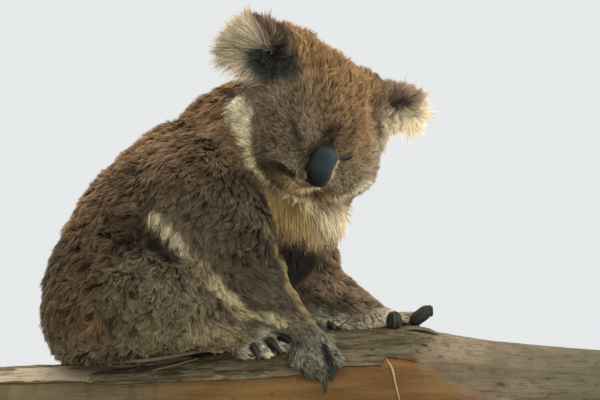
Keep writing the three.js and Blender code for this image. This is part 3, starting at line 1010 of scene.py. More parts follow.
def grow(name, chosen, count, lock, long=False, fleck=0.3, calm=1.0):
    """A piece of the coat: count tufts over the chosen triangles of the skin.

    They gather in locks so many millimetres apart. Fleck is how much the tone changes from one
    tuft to the next, and calm how much it changes over the locks, painted shade between them too.
    """
    tri = skin_tri[chosen]
    weight = tri_area[chosen] * fields[tri][:, :, CLOSE_AT].mean(1)
    total = np.cumsum(weight)
    locks = int(tri_area[chosen].sum() / (lock * MM) ** 2)
    pick = np.searchsorted(total, (np.arange(count) + rng.random(count)) / count * total[-1])
    pick = np.minimum(pick, len(tri) - 1)
    b = rng.random((count, 2))
    b = np.where(b.sum(1, keepdims=True) > 1, 1 - b, b)
    b = np.column_stack([1 - b.sum(1), b])
    f = (fields[tri[pick]] * b[:, :, None]).sum(1)
    flat = unwrap(tri)
    patch = (flat[pick] * b[:, :, None]).sum(1)

    root, n = f[:, 0:3], unit(f[:, 3:6])
    t = unit(flatten_on(f[:, 6:9], n))
    dep, ln, wd, crl, gth = f[:, 9:14].T
    s = f[:, CLOSE_AT + 1 :]
    mm = root / MM

    # which way it lies, turned a little from lock to lock and from tuft to tuft
    turn = crl * 1.3 * value_noise(mm, 16, 3) + crl * 2.2 * value_noise(mm, 5, 4)
    turn = turn + rng.normal(0, 0.18, count)
    side = np.cross(n, t)
    t = t * np.cos(turn)[:, None] + side * np.sin(turn)[:, None]
    side = np.cross(n, t)
    ln = ln * rng.uniform(0.75, 1.15, count) * MM
    top = dep * rng.uniform(0.75, 1.15, count) * (1 + 0.4 * value_noise(mm, 11, 5)) * MM
    reach = np.sqrt(np.maximum(ln**2 - top**2, (0.35 * ln) ** 2))
    bend = crl * ln * 0.5
    droop = np.maximum(ln - 0.02, 0) * 0.25

    def line(u):
        over = reach * u
        up = top * (1 - (1 - u) ** 2.2) - 0.0012 * (1 - u)
        sway = bend * np.sin(u * 3.0 + 6 * value_noise(mm, 9, 6)) * u
        at = root + t * over[:, None] + n * up[:, None] + side * sway[:, None]
        at[:, 2] -= droop * u * u
        return at

    steps = (0.0, 0.36, 0.7, 1.0) if long else (0.0, 0.48, 1.0)
    shape = (0.7, 1.0, 0.72) if long else (0.75, 1.0)
    mid = [line(u) for u in steps]

    # tufts close together gather into locks, with painted shade between them
    leaders = rng.choice(count, min(max(locks, 8), count // 2), replace=False)
    kd = kdtree.KDTree(len(leaders))
    for k, i in enumerate(leaders):
        kd.insert(mid[1][i], k)
    kd.balance()
    found = [kd.find(p)[1:] for p in mid[1].tolist()]
    lead = leaders[np.array([k for k, _ in found])]
    off_lead = np.array([d for _, d in found])
    off_lead = np.clip(off_lead / np.percentile(off_lead, 80), 0, 1.4)
    for k, u in enumerate(steps):
        if k:
            pull = (gth * u**1.3 * rng.uniform(0.6, 1.0, count))[:, None]
            mid[k] = mid[k] + (mid[k][lead] - mid[k]) * pull

    tone = markings_and_shade(mm + (t * (ln * 0.55)[:, None] + n * top[:, None]) / MM, s)
    own = rng.normal(0, 1, count)
    light = 1 + calm * (0.24 * value_noise(mm, 18, 7) + 0.32 * value_noise(mm, 6, 8))
    # tufts at the edge of a lock are darker: painted shade between locks
    light += fleck * (0.42 * own[lead] + 0.8 * own) + 0.2 - 0.36 * calm * off_lead * (0.3 + gth)
    tone = tone * np.clip(light, 0.22, 2.2)[:, None]
    dark_tip = (rng.random(count) < (0.02 if long else 0.18))[:, None]

    points, colours, uvs = [], [], []
    half = 0.0015  # of a tuft's patch on the layout
    for k, u in enumerate(steps):
        ahead = mid[min(k + 1, len(mid) - 1)] - mid[max(k - 1, 0)]
        across = unit(np.cross(ahead, n))
        up = unit(np.cross(across, ahead))
        # each tuft darker towards its root: painted shade deep in the coat; a few tips dark of their
        # own
        c = np.where(dark_tip & (u > 0.6), tone * 0.4, tone * (0.42 + 0.95 * u))
        if k == len(steps) - 1:
            points.append(mid[k])
            colours.append(c)
            uvs.append(patch + (0, half))
            continue
        w = (wd * MM * shape[k] / 2)[:, None]
        for a, h, du in ((-1, -0.3, -1), (0, 0.5, 0), (1, -0.3, 1)):
            points.append(mid[k] + across * w * a + up * w * h)
            colours.append(c)
            uvs.append(patch + (du * half * 0.98, (u * 2 - 1) * half))
    per = len(points)
    points = np.stack(points, 1).reshape(-1, 3)
    colours = np.stack(colours, 1).reshape(-1, 3)
    uvs = np.clip(np.stack(uvs, 1), 0, 1)

    pattern = []
    for k in range(len(steps) - 2):
        a, c = 3 * k, 3 * k + 3
        pattern += [(a + i, a + i + 1, c + i + 1, c + i) for i in range(2)]
    last = 3 * (len(steps) - 2)
    tips = [(last + i, last + i + 1, per - 1) for i in range(2)]
    loop = np.array([v for q in pattern for v in q] + [v for q in tips for v in q])
    starts = np.cumsum([0] + [4] * len(pattern) + [3] * len(tips))[:-1]
    each = np.arange(count)[:, None]
    m = bpy.data.meshes.new(name)
    m.vertices.add(len(points))
    m.vertices.foreach_set("co", points.astype(np.float32).ravel())
    m.loops.add(len(loop) * count)
    m.loops.foreach_set("vertex_index", (loop + per * each).astype(np.int32).ravel())
    m.polygons.add(len(starts) * count)
    m.polygons.foreach_set("loop_start", (starts + len(loop) * each).astype(np.int32).ravel())
    m.update(calc_edges=True)
    shade_smooth(m)
    layer = m.uv_layers.new(name="OFBake")
    layer.data.foreach_set("uv", uvs[:, loop].astype(np.float32).ravel())
    paint(m, "marking_and_shade", colours)
    ob = add(name, m)
    fur.on(ob)
    return piece(ob, "coat")


# Where the coat of the face starts, out of the head, that of the chest, along the body, and
# that of the shoulders, above the floor.
FACE_FROM, CHEST_FROM, SHOULDERS_FROM = 12, 12, 372
front = tri_local[:, 0] > FACE_FROM
high = tri_mid[:, 2] > SHOULDERS_FROM
chest = tri_mid[:, 0] > CHEST_FROM
grow("coat_face", region_of(["head"], front), 31500, 2.9)
grow("coat_crown", region_of(["head"], ~front), 20500, 3.6)
grow("coat_ears", region_of(["ear_left", "ear_right"]), 18500, 5, long=True, fleck=0.22)
on_chest = region_of(["neck", "trunk"], chest)
grow("coat_chest", on_chest, 12000, 5, long=True, fleck=0.12, calm=0.55)
grow("coat_shoulders", region_of(["neck", "trunk"], high & ~chest), 29000, 6)
grow("coat_loins", region_of(["trunk"], ~high & ~chest), 27500, 6)
for limb, parts, side, count, lock in (
    ("arm", ("upper_arm", "forearm"), "right", 23500, 4),
    ("arm", ("upper_arm", "forearm"), "left", 14500, 5),
    ("leg", ("thigh", "shank"), "right", 21500, 3.6),
    ("leg", ("thigh", "shank"), "left", 11000, 4.5),
):
    grow(f"coat_{limb}_{side}", region_of([f"{n}_{side}" for n in parts]), count, lock)
grow("coat_paws", region_of(PAWS), 19500, 2.8)

# ---------------------------------------------------------------- lids and lips

outside = bvhtree.BVHTree.FromPolygons(outer.tolist(), skin_tri.tolist())


BEFORE_FACE = 130


def on_face(y, z):
    """Where a line straight into the face meets the outside of the coat, and the normal there."""
    start = Vector(from_head((BEFORE_FACE, y, z)) * MM)
    hit, n, _, _ = outside.ray_cast(start, Vector(-HEAD[:, 0]))
    return in_head(np.array(hit) / MM), unit(np.array(n) @ HEAD)


# Across a pair of rims: how far to each side, and how high.
RIM = (
    (-1, -1.6), (-0.85, 0.1), (-0.55, 0.75), (-0.26, 0.3), (0, -0.9),
    (0.26, 0.3), (0.55, 0.75), (0.85, 0.1), (1, -1.6),
)


def rims(name, line, wide, sink):
    """Two soft rims with a crease between them, along a line over the face, thin at both ends."""
    at, n = (np.array(q) for q in zip(*(on_face(y, z) for y, z in line)))
    n = unit(n.mean(0) * 0.7 + n * 0.3)
    ahead = unit(np.gradient(at, axis=0))
    across = unit(np.cross(n, ahead))
    bm = bmesh.new()
    rings, depth_of = [], bm.verts.layers.float.new("crease")
    for k, u in enumerate(np.linspace(0, 1, len(line))):
        swell = max(math.sin(math.pi * u), 0.0) ** 0.6 + 0.05
        ring = []
        for a, h in RIM:
            rise = h * min(swell, 1) * wide * 0.7 - sink
            p = at[k] + across[k] * a * wide * swell + n[k] * rise
            v = bm.verts.new(from_head(p) * MM)
            v[depth_of] = 1.0 if abs(a) < 0.3 else 0.0
            ring.append(v)
        rings.append(ring)
    close_rings(bm, rings)
    return rounded(name, bm)


def mottled(name, constants, scale, dark, light, grain, raised, detail=4.0, crease=None):
    """A material mottled between two tones, with a fine grain and its creases in another."""
    finish = Finish(name, constants)
    where = finish.place()
    tone = finish.blend(finish.noise(where, scale, detail), dark, light)
    if crease:
        tone = finish.mix(finish.factor("crease"), tone, linear(*crease))
    finish.colour(tone)
    finish.bump(finish.noise(where, grain, 3), raised)
    return finish


# the slit between the lids is near black: partly the lids' dark edges, partly painted shade
lid_skin = mottled(
    "lid skin", {"Roughness": 0.55, "Specular IOR Level": 0.3},
    300, (58, 46, 40), (92, 74, 64), 1400, 0.0003, crease=(14, 11, 9),
)
for side in ("left", "right"):
    lid = rims("lid_" + side, SLIT[side], 4.2, 0.6)
    lid_skin.on(lid)
    piece(lid, "eyelid", "eye_" + side)

# the mouth's crease is near black: partly the lips' dark skin, partly painted shade
lip_skin = mottled(
    "lip skin", {"Roughness": 0.5, "Specular IOR Level": 0.4},
    240, (70, 50, 40), (112, 86, 72), 1200, 0.0003, crease=(24, 15, 12),
)
lips = rims("lips", MOUTH, 1.2, 0.9)
lip_skin.on(lips)
piece(lips, "nose")

# ---------------------------------------------------------------- nose

nose = merged_copy("nose_pad", ["nose"])
even_mesh(nose, NOSE_VOXEL)
nose_net = Net(nose.data)
at = nose_net.relax(coords(nose.data), 24)
h = in_head(at / MM)
h[:, 1] *= 1 + 0.24 * smooth_step(-22, 6, h[:, 2]) + 0.05 * smooth_step(-24, -36, h[:, 2])
h[:, 0] += 1.5 * smooth_step(-12, -28, h[:, 2]) - 2.0 * smooth_step(0, 14, h[:, 2])
h[:, 2] -= 2.0 * smooth_step(2, 15, h[:, 2])
h[:, 1] += 3.4 + 1.6 * smooth_step(-4, 12, h[:, 2])
rosy = near_line(h, [(80, -8, -41), (82, 2, -42), (80, 12, -41)], 1.2, 2.5) * 0.8
# painted shade: the nose darker to its bottom, its far edge and its top
dark = smooth_step(-6, -24, h[:, 2]) + 0.9 * smooth_step(11, 18, h[:, 1])
dark += 0.7 * smooth_step(7, 12, h[:, 2])
push = np.zeros(len(h))
# the wings of the nostrils and their pits, on both sides of the middle
WING = ((83, 11, -39), (82, 13.5, -35), (78, 15.5, -30))
PIT = ((86, 6.5, -35), (85, 9, -31), (81, 12, -26))
for side in (-1, 1):
    wing, pit = (
        near_line(h, [(x, y * side + 3, z) for x, y, z in line], reach, soft)
        for line, reach, soft in ((WING, 2.2, 2.2), (PIT, 0.9, 2.0))
    )
    rosy = np.maximum(rosy, wing * (1 - pit))
    push += 1.3 * wing - 4.5 * pit
    # the nostrils' pits darker: painted shade in them
    dark += 2 * pit
push -= 1.0 * near_line(h, [(92, 0, -30), (84, 0, -40), (70, 0, -42)], 0.2, 1.4)
h += push[:, None] * unit(h - np.array((66.0, 0, -18)))
set_coords(nose.data, from_head(h) * MM)
shade_smooth(nose.data)
paint(nose.data, "leather", np.clip(np.column_stack([rosy, dark, 0 * dark]), 0, 1))
leather = Finish("nose leather", {"Specular IOR Level": 0.2})
where = leather.place()
cells = leather.value(
    "ShaderNodeTexVoronoi", {"feature": "DISTANCE_TO_EDGE"}, {"Vector": where, "Scale": 1300.0}
)
rosy, painted_shade, _ = leather.channels("leather")
tone = leather.blend(leather.noise(where, 60, 4), (24, 32, 34), (43, 54, 56))
tone = leather.mix(painted_shade, tone, linear(5, 5, 3))
pinkish = leather.blend(leather.noise(where, 260), (96, 60, 50), (150, 112, 98))
leather.colour(leather.mix(rosy, tone, pinkish))
leather.rough(0.42 + leather.noise(where, 90, 3) * 0.16)
leather.bump(leather.spread(cells, 0.0, 0.3), 0.00016, 0.5)
leather.on(nose)
piece(nose, "nose", "nose")

# ---------------------------------------------------------------- pads and claws

CLAW_BEND = math.radians(70)
CLAW_THICK = 6.2
# The far hand's first two fingers and the far foot's first toe show their pads, with the claws
# hooked over them: place, radii and tilt of the pad, then the root of the claw, its way, the way
# its side is square to, its length and its thickness.
RAISED = {
    ("hand_left", 0): (
        (176.5, -16, 284), (9.2, 8, 10.8), 0,
        (176.5, -20, 289.5), (-0.05, -0.8, -0.45), (0, 0.6, 0.8), 20, 2.8,
    ),
    ("hand_left", 1): (
        (208, -2, 290), (16, 9, 8.2), 36,
        (218, -4, 297), (0.5, -0.35, -0.75), (0, -0.2, 1), 10, 2.8,
    ),
    ("foot_left", 0): (
        (105, -38, 277), (5, 4, 4), 20,
        (102, -42, 278.5), (0.85, -0.25, -0.3), (0, 0.6, 0.8), 9, 4.6,
    ),
}
CLAW_SIZE = {
    "hand_right": (14, 14, 25, 14, 12), "hand_left": (20, 10, 5, 14, 14),
    "foot_right": (13, 15, 17, 16), "foot_left": (11, 14, 16, 18),
}
# A claw that starts a little to one side of its digit's tip, by paw and by digit.
SHIFT = {("hand_right", 2): (4, 0, 0)}
SHIFT.update({("foot_right", order): (4, -6, 0) for order in range(4)})
CLAW_SIDES = 16
pad_mesh, claw_mesh = bmesh.new(), bmesh.new()
highlight_of = claw_mesh.verts.layers.float.new("painted_highlight")
for n, order, ahead, across, back, tip, r in TIPS:
    axes = np.array([ahead, across, back])
    made = bmesh.ops.create_icosphere(pad_mesh, subdivisions=4, radius=1.0)["verts"]
    start, size, full = tip + ahead * 1.5, CLAW_SIZE[n][order], CLAW_THICK
    start = start + SHIFT.get((n, order), (0, 0, 0))
    if (n, order) in RAISED:
        spot, radii, tilt, start, way, square, size, full = RAISED[n, order]
        c, d = math.cos(math.radians(tilt)), math.sin(math.radians(tilt))
        stand = np.array([[c, 0, d], [0, 1, 0], [-d, 0, c]])
        for v in made:
            q = np.array(v.co)
            q *= 1 + 0.05 * math.sin(5 * q[0] + 2) * math.sin(4 * q[2] + 1)
            v.co = (np.array(spot) + (q * radii) @ stand) * MM
        ahead = unit(np.array(way))
        across = unit(np.cross(ahead, square))
        axes = np.array([ahead, across, np.cross(ahead, across)])
        if axes[2, 2] < 0:
            axes[1:] *= -1
    else:
        small = 0.95 if n == "hand_left" else 0.62
        for v in made:
            q = np.array(v.co) * (r * 0.98 * small, r * 0.9 * small, r * 0.8 * small)
            v.co = (tip + (q + np.array([r * 0.3, 0, -r * 0.42])) @ axes) * MM
    arc = size / CLAW_BEND
    rings = []
    for u in np.linspace(-0.28, 1, 15):
        angle = u * CLAW_BEND
        centre = np.array([math.sin(angle) * arc, 0, (math.cos(angle) - 1) * arc + 0.8])
        up = np.array([math.sin(angle), 0, math.cos(angle)])
        thick = full * max(1 - u, 0.0) ** 0.62 * (1 if u > 0 else 0.96) + 0.25
        ring = []
        for a in np.linspace(0, 2 * math.pi, CLAW_SIDES, endpoint=False):
            high = math.cos(a) * (1 if math.cos(a) > 0 else 0.72)
            wide = math.sin(a) * 0.66 * (1 - 0.18 * max(math.cos(a), 0))
            q = centre + up * thick * high + np.array([0, 1, 0]) * thick * wide
            v = claw_mesh.verts.new((np.array(start) + q @ axes) * MM)
            # painted highlight along the claw's back
            v[highlight_of] = max(math.cos(a), 0) ** 3
            ring.append(v)
        rings.append(ring)
    close_rings(claw_mesh, rings)
for bm in (pad_mesh, claw_mesh):
    bmesh.ops.recalc_face_normals(bm, faces=bm.faces)
pads, claws = mesh_object("pads", pad_mesh), mesh_object("claws", claw_mesh)
shade_smooth(pads.data)
shade_smooth(claws.data)
pad_skin = Finish("pad leather", {"Specular IOR Level": 0.4})
grain = pad_skin.noise(pad_skin.place(), 700, 4)
pad_skin.colour(pad_skin.blend(pad_skin.spread(grain, 0.35, 0.7), (14, 15, 13), (52, 52, 44)))
pad_skin.rough(0.5 + grain * 0.2)
pad_skin.bump(grain, 0.0014)
pad_skin.on(pads)
piece(pads, "claw")
horn = Finish("claw horn", {"Specular IOR Level": 0.2})
streak = horn.noise(horn.place(), 260, 4)
dark = horn.blend(streak, (7, 8, 8), (22, 22, 20))
# a painted highlight along the claw's back, pale on the dark horn
horn.colour(horn.mix(horn.factor("painted_highlight") * 0.4, dark, linear(104, 100, 90)))
horn.rough(0.38 + streak * 0.14)
horn.bump(streak, 0.0002)
horn.on(claws)
piece(claws, "claw", *(n for n in nodes if n.startswith("claw_")))

# ---------------------------------------------------------------- log
# The upper side keeps a plate of grey fibrous bark that ends in a ragged ledge, with bare
# tan wood under it. To the left the plate's skin has peeled off a pale strip.

SAWN = 6  # how far from the log's ends its sawn faces are looked for
log = merged_copy("log", ["perch_branch"])
even_mesh(log, LOG_VOXEL)
log_net = Net(log.data)
at = log_net.relax(coords(log.data), 16) / MM
log_normal = normals(log.data)
x = at[:, 0]
axis = np.interp(x, LOG_X, np.subtract(LOG_TOP, LOG_RADIUS))
round_at = np.degrees(np.arctan2(-at[:, 1], at[:, 2] - axis))
by_end = (x < LOG_X[0] + SAWN) | (x > LOG_X[-1] - SAWN)
ends = smooth_step(0.92, 0.98, np.abs(log_normal[:, 0])) * by_end
on_axis = np.column_stack([x, 0 * x, 0 * x])
wander = 2.4 * value_noise(on_axis, 34, 40) + 1.1 * value_noise(on_axis, 9, 41)
# the bark's ledge and the peeled strip: along the log, and round it in degrees from its top
LEDGE = (
    (-286, 42), (-268, 41), (-225, 44), (-177, 46), (-157, 52), (-111, 55), (-66, 58.5),
    (-21, 63.6), (24, 67.7), (58, 69.4), (96, 69), (116, 63), (161, 65), (165, 56.5),
    (193, 59.6), (216, 61), (238, 72), (290, 88), (330, 98), (430, 106),
)
STRIP_LOW = (
    (-286, 90), (-177, 90), (-169, 35), (-135, 31), (-99, 34), (-83, 33), (-60, 29), (-48, 25),
)
STRIP_TOP = (
    (-286, 4), (-263, 7), (-205, 9), (-154, 18), (-132, 25), (-104, 29), (-88, 24), (-48, 25),
)
STRIP_ENDS = -46
ledge, strip_low, strip_top = (
    np.interp(x, *zip(*edge)) for edge in (LEDGE, STRIP_LOW, STRIP_TOP)
)
ledge = ledge + 0.5 * wander
from_ledge = ledge - round_at
ripple = value_noise(at * (0.5, 1, 1), 11, 49)
smooth_bark = smooth_step(206, 224, x + 0.3 * (round_at - 40) + 12 * ripple)
jag = 1.6 * value_noise(at * (0.5, 1, 1), 5, 43)
strip_low = np.minimum(strip_low, ledge - 2)
strip = np.minimum(round_at - strip_top + jag, strip_low - round_at + jag)
strip = smooth_step(-1.2, 1.2, strip) * (x < STRIP_ENDS)
plate = smooth_step(-1.0, 1.0, from_ledge) * smooth_step(-128, -116, round_at) * (1 - strip)
long_at = at * (0.14, 1, 1)
height = 2.6 * plate * (1 - 0.65 * smooth_bark) - 1.2
fibres = 0.8 * value_noise(long_at, 3.2, 45) + 0.5 * value_noise(long_at, 1.7, 46)
height += plate * (1 - smooth_bark) * fibres
height += 0.7 * value_noise(at * (0.3, 1, 1), 12, 47) + 0.25 * value_noise(long_at, 2.4, 48)
height -= 1.0 * smooth_step(2.2, 0.2, np.abs(from_ledge + 1.0)) * (1 - smooth_bark)
height *= 1 - ends
centre = np.column_stack([x, 0 * x, axis])
set_coords(log.data, (at + unit(at - centre) * height[:, None]) * MM)
shade_smooth(log.data)
bark = np.column_stack([from_ledge / 24 + 0.5, strip, smooth_bark])
paint(log.data, "bark", np.clip(bark, 0, 1))
paint(log.data, "ends", np.column_stack([ends] * 3))
# knots in the bark: along the log, round it, and their size
KNOTS = (
    (209, 40, 2.4), (215, 45, 1.8), (227, 51, 1.6), (294, 73, 3.2), (262, 60, 1.4),
    (312, 14, 2.2), (348, 62, 2.0), (330, 40, 1.5), (150, 48, 1.6),
)
knots = np.zeros(len(x))
for a, b, r in KNOTS:
    off = np.hypot((x - a) / (2.2 * r), (round_at - b) * 1.2 / r)
    knots = np.maximum(knots, 1 - smooth_step(0.4, 1.2, off))
paint(log.data, "knots", np.column_stack([knots] * 3))
wood = Finish("log", {"Specular IOR Level": 0.2})
where = wood.place()
along = wood.place(scale=(0.10, 1, 1))
ledge_by, peeled, calm = wood.channels("bark")
gone = wood.value("ShaderNodeSeparateXYZ", None, {0: where})
fibre = wood.noise(along, 420, 5, 0.65)
coarse = wood.noise(along, 130, 5, 0.6)
blot = wood.noise(where, 22, 4, 0.55)
small = wood.noise(where, 90, 4, 0.6)
crack_at = wood.noise(wood.place(scale=(0.07, 1, 1)), 190, 3, 0.5, 0.3)
crack = wood.spread(abs(crack_at - 0.5), 0.022, 0.004) * wood.spread(small, 0.42, 0.52)
# grey fibrous bark
bark = wood.blend(wood.spread(coarse, 0.34, 0.64), (74, 63, 45), (134, 118, 88))
for value, low, high, amount, tone in (
    (fibre, 0.52, 0.66, 0.6, (166, 150, 116)), (blot, 0.45, 0.62, 0.45, (96, 92, 62)),
    (fibre, 0.44, 0.3, 0.8, (58, 48, 33)),
):
    bark = wood.wash(bark, value, low, high, amount, tone)
bark = wood.mix(crack * 0.75, bark, linear(44, 35, 23))
# tan wood under the ledge, redder round the twig and greyer to the left
tan = wood.blend(wood.spread(wood.noise(along, 70, 4), 0.35, 0.65), (112, 80, 44), (138, 105, 62))
tan = wood.wash(tan, fibre, 0.5, 0.7, 0.25, (156, 122, 76))
under = wood.spread(ledge_by, 0.12, 0.5) * wood.spread(gone, 0.14, 0.18)
under = under * wood.spread(gone, 0.27, 0.21)
tan = wood.mix(under * 0.85, tan, linear(152, 88, 44))
tan = wood.wash(tan, small, 0.58, 0.7, 0.6, (112, 68, 34))
tan = wood.wash(tan, wood.noise(where, 160, 2), 0.68, 0.74, 0.4, (50, 34, 20))
grey = wood.blend(small, (98, 88, 64), (130, 116, 88))
stain = wood.noise(wood.place(scale=(1, 0.2, 0.12)), 60, 4)
grey = wood.wash(grey, stain, 0.5, 0.62, 0.6, (84, 84, 46))
tan = wood.mix(wood.spread(gone, -0.02, -0.14) * 0.85, tan, grey)
# smooth rosy bark to the right
rose = wood.blend(wood.spread(blot, 0.35, 0.65), (122, 108, 84), (150, 133, 108))
for value, low, high, amount, tone in (
    (fibre, 0.54, 0.7, 0.45, (158, 138, 114)), (small, 0.5, 0.66, 0.4, (112, 88, 66)),
    (wood.noise(along, 50, 5), 0.5, 0.64, 0.7, (104, 94, 70)), (gone, 0.27, 0.4, 0.8, (98, 92, 68)),
):
    rose = wood.wash(rose, value, low, high, amount, tone)
rose = wood.mix(crack * wood.spread(blot, 0.42, 0.55) * 0.45, rose, linear(66, 52, 38))
# the peeled strip, the ledge's crisp edge and the shade under it
cream = wood.blend(wood.noise(along, 150, 4), (172, 152, 120), (206, 188, 156))
cream = wood.mix(crack * 0.5, cream, linear(90, 74, 54))
crisp = wood.spread(ledge_by + (fibre - 0.5) * 0.04, 0.49, 0.51)
faded = wood.spread(ledge_by + (coarse - 0.5) * 0.6 + (blot - 0.5) * 1.6, -0.1, 0.6)
tone = wood.mix(crisp + calm * (faded - crisp), tan, wood.mix(calm, bark, rose))
tone = wood.mix(wood.spread(peeled + (fibre - 0.5) * 0.3, 0.45, 0.55), tone, cream)
tone = wood.mix(wood.factor("knots") * 0.8, tone, linear(58, 40, 28))
shade = wood.spread(abs(ledge_by - 0.49), 0.03, 0.004) * (1 - calm)
tone = wood.mix(shade * 0.85, tone, linear(44, 30, 18))
# growth rings on the sawn ends
across = wood.node("ShaderNodeVectorMath", {"operation": "MULTIPLY"}, {0: where, 1: (0, 1, 1)})
middle = wood.node(
    "ShaderNodeMapping", None, {"Vector": across.outputs[0], "Location": (0, 0, -0.18)}
)
rings = wood.value(
    "ShaderNodeTexWave", {"wave_type": "RINGS", "rings_direction": "X"},
    {
        "Vector": middle.outputs[0],
        "Scale": 90.0, "Distortion": 1.5, "Detail": 3.0, "Detail Scale": 1.2,
    },
    1,
)
sawn = wood.blend(rings, (150, 116, 78), (196, 164, 120))
wood.colour(wood.mix(wood.attribute("ends"), tone, sawn))
wood.rough(0.86 - peeled * 0.15 - fibre * 0.1)
wood.bump(fibre * 0.6 + coarse * 0.8 + small * 0.2 - crack * crisp * 0.35, 0.003, 0.8)
wood.on(log)
piece(log, "perch", "perch_branch")

# Across a splinter: how far to each side, and how high.
SPLINTER = (
    (-1, 0.1), (-0.6, 0.75), (0, 1.0), (0.6, 0.7), (1, 0.15), (0.5, -0.1), (-0.5, -0.1),
)
AXIS_HEIGHT = 190  # of the log's middle, which the splinters turn away from


def sliver(name, line, wide, thick):
    """A thin split of bark or a twig along a line, pointed at both ends."""
    line = np.array(line, float)
    ahead = unit(np.gradient(line, axis=0))
    up = unit(line * (0, 1, 1) - (0, 0, AXIS_HEIGHT))
    across = unit(np.cross(up, ahead))
    up = np.cross(ahead, across)
    bm = bmesh.new()
    rings = []
    for k, u in enumerate(np.linspace(0, 1, len(line))):
        full = min(1.0, 4 * u + 0.12, 4 * (1 - u) + 0.12)
        w = wide * full * (1 + 0.2 * math.sin(9 * u + len(name)))
        h = thick * max(full, 0.4)
        rings.append([
            bm.verts.new((line[k] + across[k] * w * a / 2 + up[k] * h * b) * MM)
            for a, b in SPLINTER
        ])
    close_rings(bm, rings)
    return rounded(name, bm)


def over_log(x, turn, out):
    """A point over the log at x, turned so far from its top to the near side, and so far out."""
    r = np.interp(x, LOG_X, LOG_RADIUS) + out
    centre = np.interp(x, LOG_X, np.subtract(LOG_TOP, LOG_RADIUS))
    return (x, -r * math.sin(math.radians(turn)), centre + r * math.cos(math.radians(turn)))


splinter = Finish("splintered bark", {"Roughness": 0.85, "Specular IOR Level": 0.2})
fibre = splinter.noise(splinter.place(scale=(0.1, 1, 1)), 500, 5, 0.6)
splinter.colour(splinter.blend(fibre, (66, 56, 40), (142, 128, 102)))
splinter.bump(fibre, 0.001)
bare_twig = mottled(
    "bare twig", {"Roughness": 0.7}, 160, (150, 128, 98), (206, 184, 150), 900, 0.0004
)
russet = mottled(
    "dry leaf stem", {"Roughness": 0.6}, 200, (78, 40, 28), (132, 74, 54), 900, 0.0003, detail=3
)
LIFTED = [
    over_log(x, 14 - 0.04 * (x - 190), 1.0 + 3.6 * math.sin((x - 182) / 46 * math.pi))
    for x in np.linspace(182, 228, 9)
]
TWIG = (
    (164, 55, 1.5), (166, 59, 3), (168.5, 63.5, 4), (171, 67, 4.5), (173, 71, 4.5),
    (174.2, 76, 4), (175.5, 82, 4), (178, 90, 3.5), (181, 98, 3), (183, 106, 2),
)
# Each sliver's material, line, width and thickness.
SLIVERS = {
    "flake_long": (splinter, [
        (-163, -46, 236), (-138, -58, 237), (-109, -66, 238), (-86, -70, 241),
        (-58, -60, 246), (-40, -44, 249), (-24, -30, 252),
    ], 3, 5.5),
    "flake_short": (splinter, [
        (-98, -62, 228), (-84, -62, 231), (-68, -54, 235), (-52, -44, 239), (-44, -38, 242),
    ], 2.5, 2.2),
    "flake_lifted": (splinter, LIFTED, 16, 3.5),
    "flake_end": (splinter, [
        over_log(x, 20 + 0.1 * (x + 270), 1.8) for x in np.linspace(-281, -252, 7)
    ], 7, 1.5),
    "twig": (bare_twig, [over_log(*at) for at in TWIG], 2.5, 2.2),
    "leaf_stem": (russet, [
        (109, -36, 274), (113, -37, 276), (118, -37.5, 280), (124, -37, 285), (130, -36, 289),
    ], 3.6, 1.5),
}
for name, (finish, line, wide, thick) in SLIVERS.items():
    made = sliver(name, line, wide, thick)
    finish.on(made)
    piece(made, "perch")

# ---------------------------------------------------------------- stand

lacquer = Finish("black lacquer", {"Roughness": 0.35})
where = lacquer.place()
speck = lacquer.noise(where, 40, 5)
lacquer.colour(lacquer.blend(speck, (20, 19, 18), (34, 31, 29)))
lacquer.rough(0.3 + speck * 0.15)
lacquer.on(nodes["stand_base"])
steel = Finish("brushed steel", {"Metallic": 1.0})
where = steel.place(scale=(1, 1, 60))
brush = steel.noise(where, 20, 4)
steel.colour(steel.mix(brush, (0.42, 0.42, 0.43), (0.6, 0.6, 0.6)))
steel.rough(0.28 + brush * 0.2)
steel.on(nodes["stand_rod_1"], nodes["stand_rod_2"])

# ---------------------------------------------------------------- room, light, camera

bpy.ops.object.select_all(action="DESELECT")
bpy.ops.mesh.primitive_plane_add(size=60, location=(0, 0, 0))
floor = bpy.context.active_object
floor.name = "floor"
chalk = Finish("pale floor", {"Roughness": 0.9, "Specular IOR Level": 0.1})
where = chalk.place()
chalk.colour(chalk.mix(chalk.noise(where, 3), (0.74, 0.75, 0.75), (0.78, 0.78, 0.78)))
distance = chalk.value("ShaderNodeVectorMath", {"operation": "LENGTH"}, {0: where}, out=1)
far = chalk.spread(distance, 1.6, 5.0)
glow = chalk.node("ShaderNodeEmission", None, {"Color": (0.80, 0.82, 0.82), "Strength": 1.0})
seen = chalk.value("ShaderNodeLightPath")
blend = chalk.node(
    "ShaderNodeMixShader", None,
    {0: far * seen, 1: chalk.shader.outputs[0], 2: glow.outputs[0]},
)
chalk.plug(chalk.tree.nodes["Material Output"].inputs[0], blend.outputs[0])
chalk.on(floor)

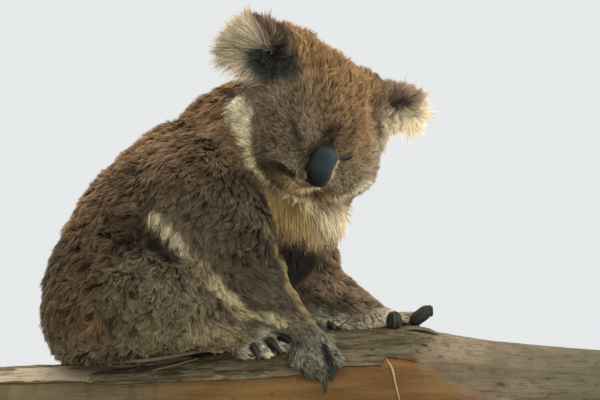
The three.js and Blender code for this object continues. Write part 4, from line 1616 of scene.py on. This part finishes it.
world = bpy.data.worlds.new("studio")
bpy.context.scene.world = world
world.use_nodes = True
studio = Nodes(world.node_tree)
ground = studio.tree.nodes["Background"]
studio.plug(ground.inputs["Color"], (0.93, 0.97, 1.0))
studio.plug(ground.inputs["Strength"], 0.62)
pale = studio.node("ShaderNodeBackground", None, {"Color": (0.80, 0.82, 0.82)})
seen = studio.node("ShaderNodeLightPath").outputs["Is Camera Ray"]
pick = studio.node("ShaderNodeMixShader", None, {0: seen, 1: ground.outputs[0], 2: pale.outputs[0]})
studio.plug(studio.tree.nodes["World Output"].inputs[0], pick.outputs[0])


def look(ob, at, aim):
    """Puts a lamp or a camera at a place and turns it to a point."""
    ob.location = at
    ob.rotation_euler = (Vector(aim) - Vector(at)).to_track_quat("-Z", "Y").to_euler()


def lamp(name, at, aim, size, power, colour):
    data = bpy.data.lights.new(name, "AREA")
    data.shape = "RECTANGLE"
    data.size, data.size_y = size
    data.energy = power
    data.color = colour
    look(add(name, data), at, aim)


lamp("sky", (-0.3, 0.2, 2.4), (0, 0, 0.4), (2.0, 1.8), 34, (1.0, 0.98, 0.94))
lamp("rim", (-1.6, 1.1, 1.3), (-0.05, 0, 0.4), (1.0, 1.0), 24, (1.0, 0.93, 0.82))
lamp("side", (1.9, 0.2, 1.1), (0.1, 0, 0.4), (1.2, 1.2), 24, (1.0, 0.96, 0.9))
lamp("fill", (0.7, -2.6, 1.3), (0.05, 0, 0.4), (1.4, 1.2), 17, (1.0, 0.98, 0.96))

# The camera stands back so far, and its view is so wide where it looks.
CAMERA_AT, CAMERA_AIM, VIEW_WIDTH = (0.069, -3.0, 0.30), (0.069, 0.0, 0.4225), 0.69
SENSOR = 36
camera = add("camera", bpy.data.cameras.new("camera"))
look(camera, CAMERA_AT, CAMERA_AIM)
camera.data.sensor_width = SENSOR
camera.data.lens = SENSOR * math.dist(CAMERA_AT, CAMERA_AIM) / VIEW_WIDTH
bpy.context.scene.camera = camera
bpy.context.scene.view_settings.view_transform = "Standard"
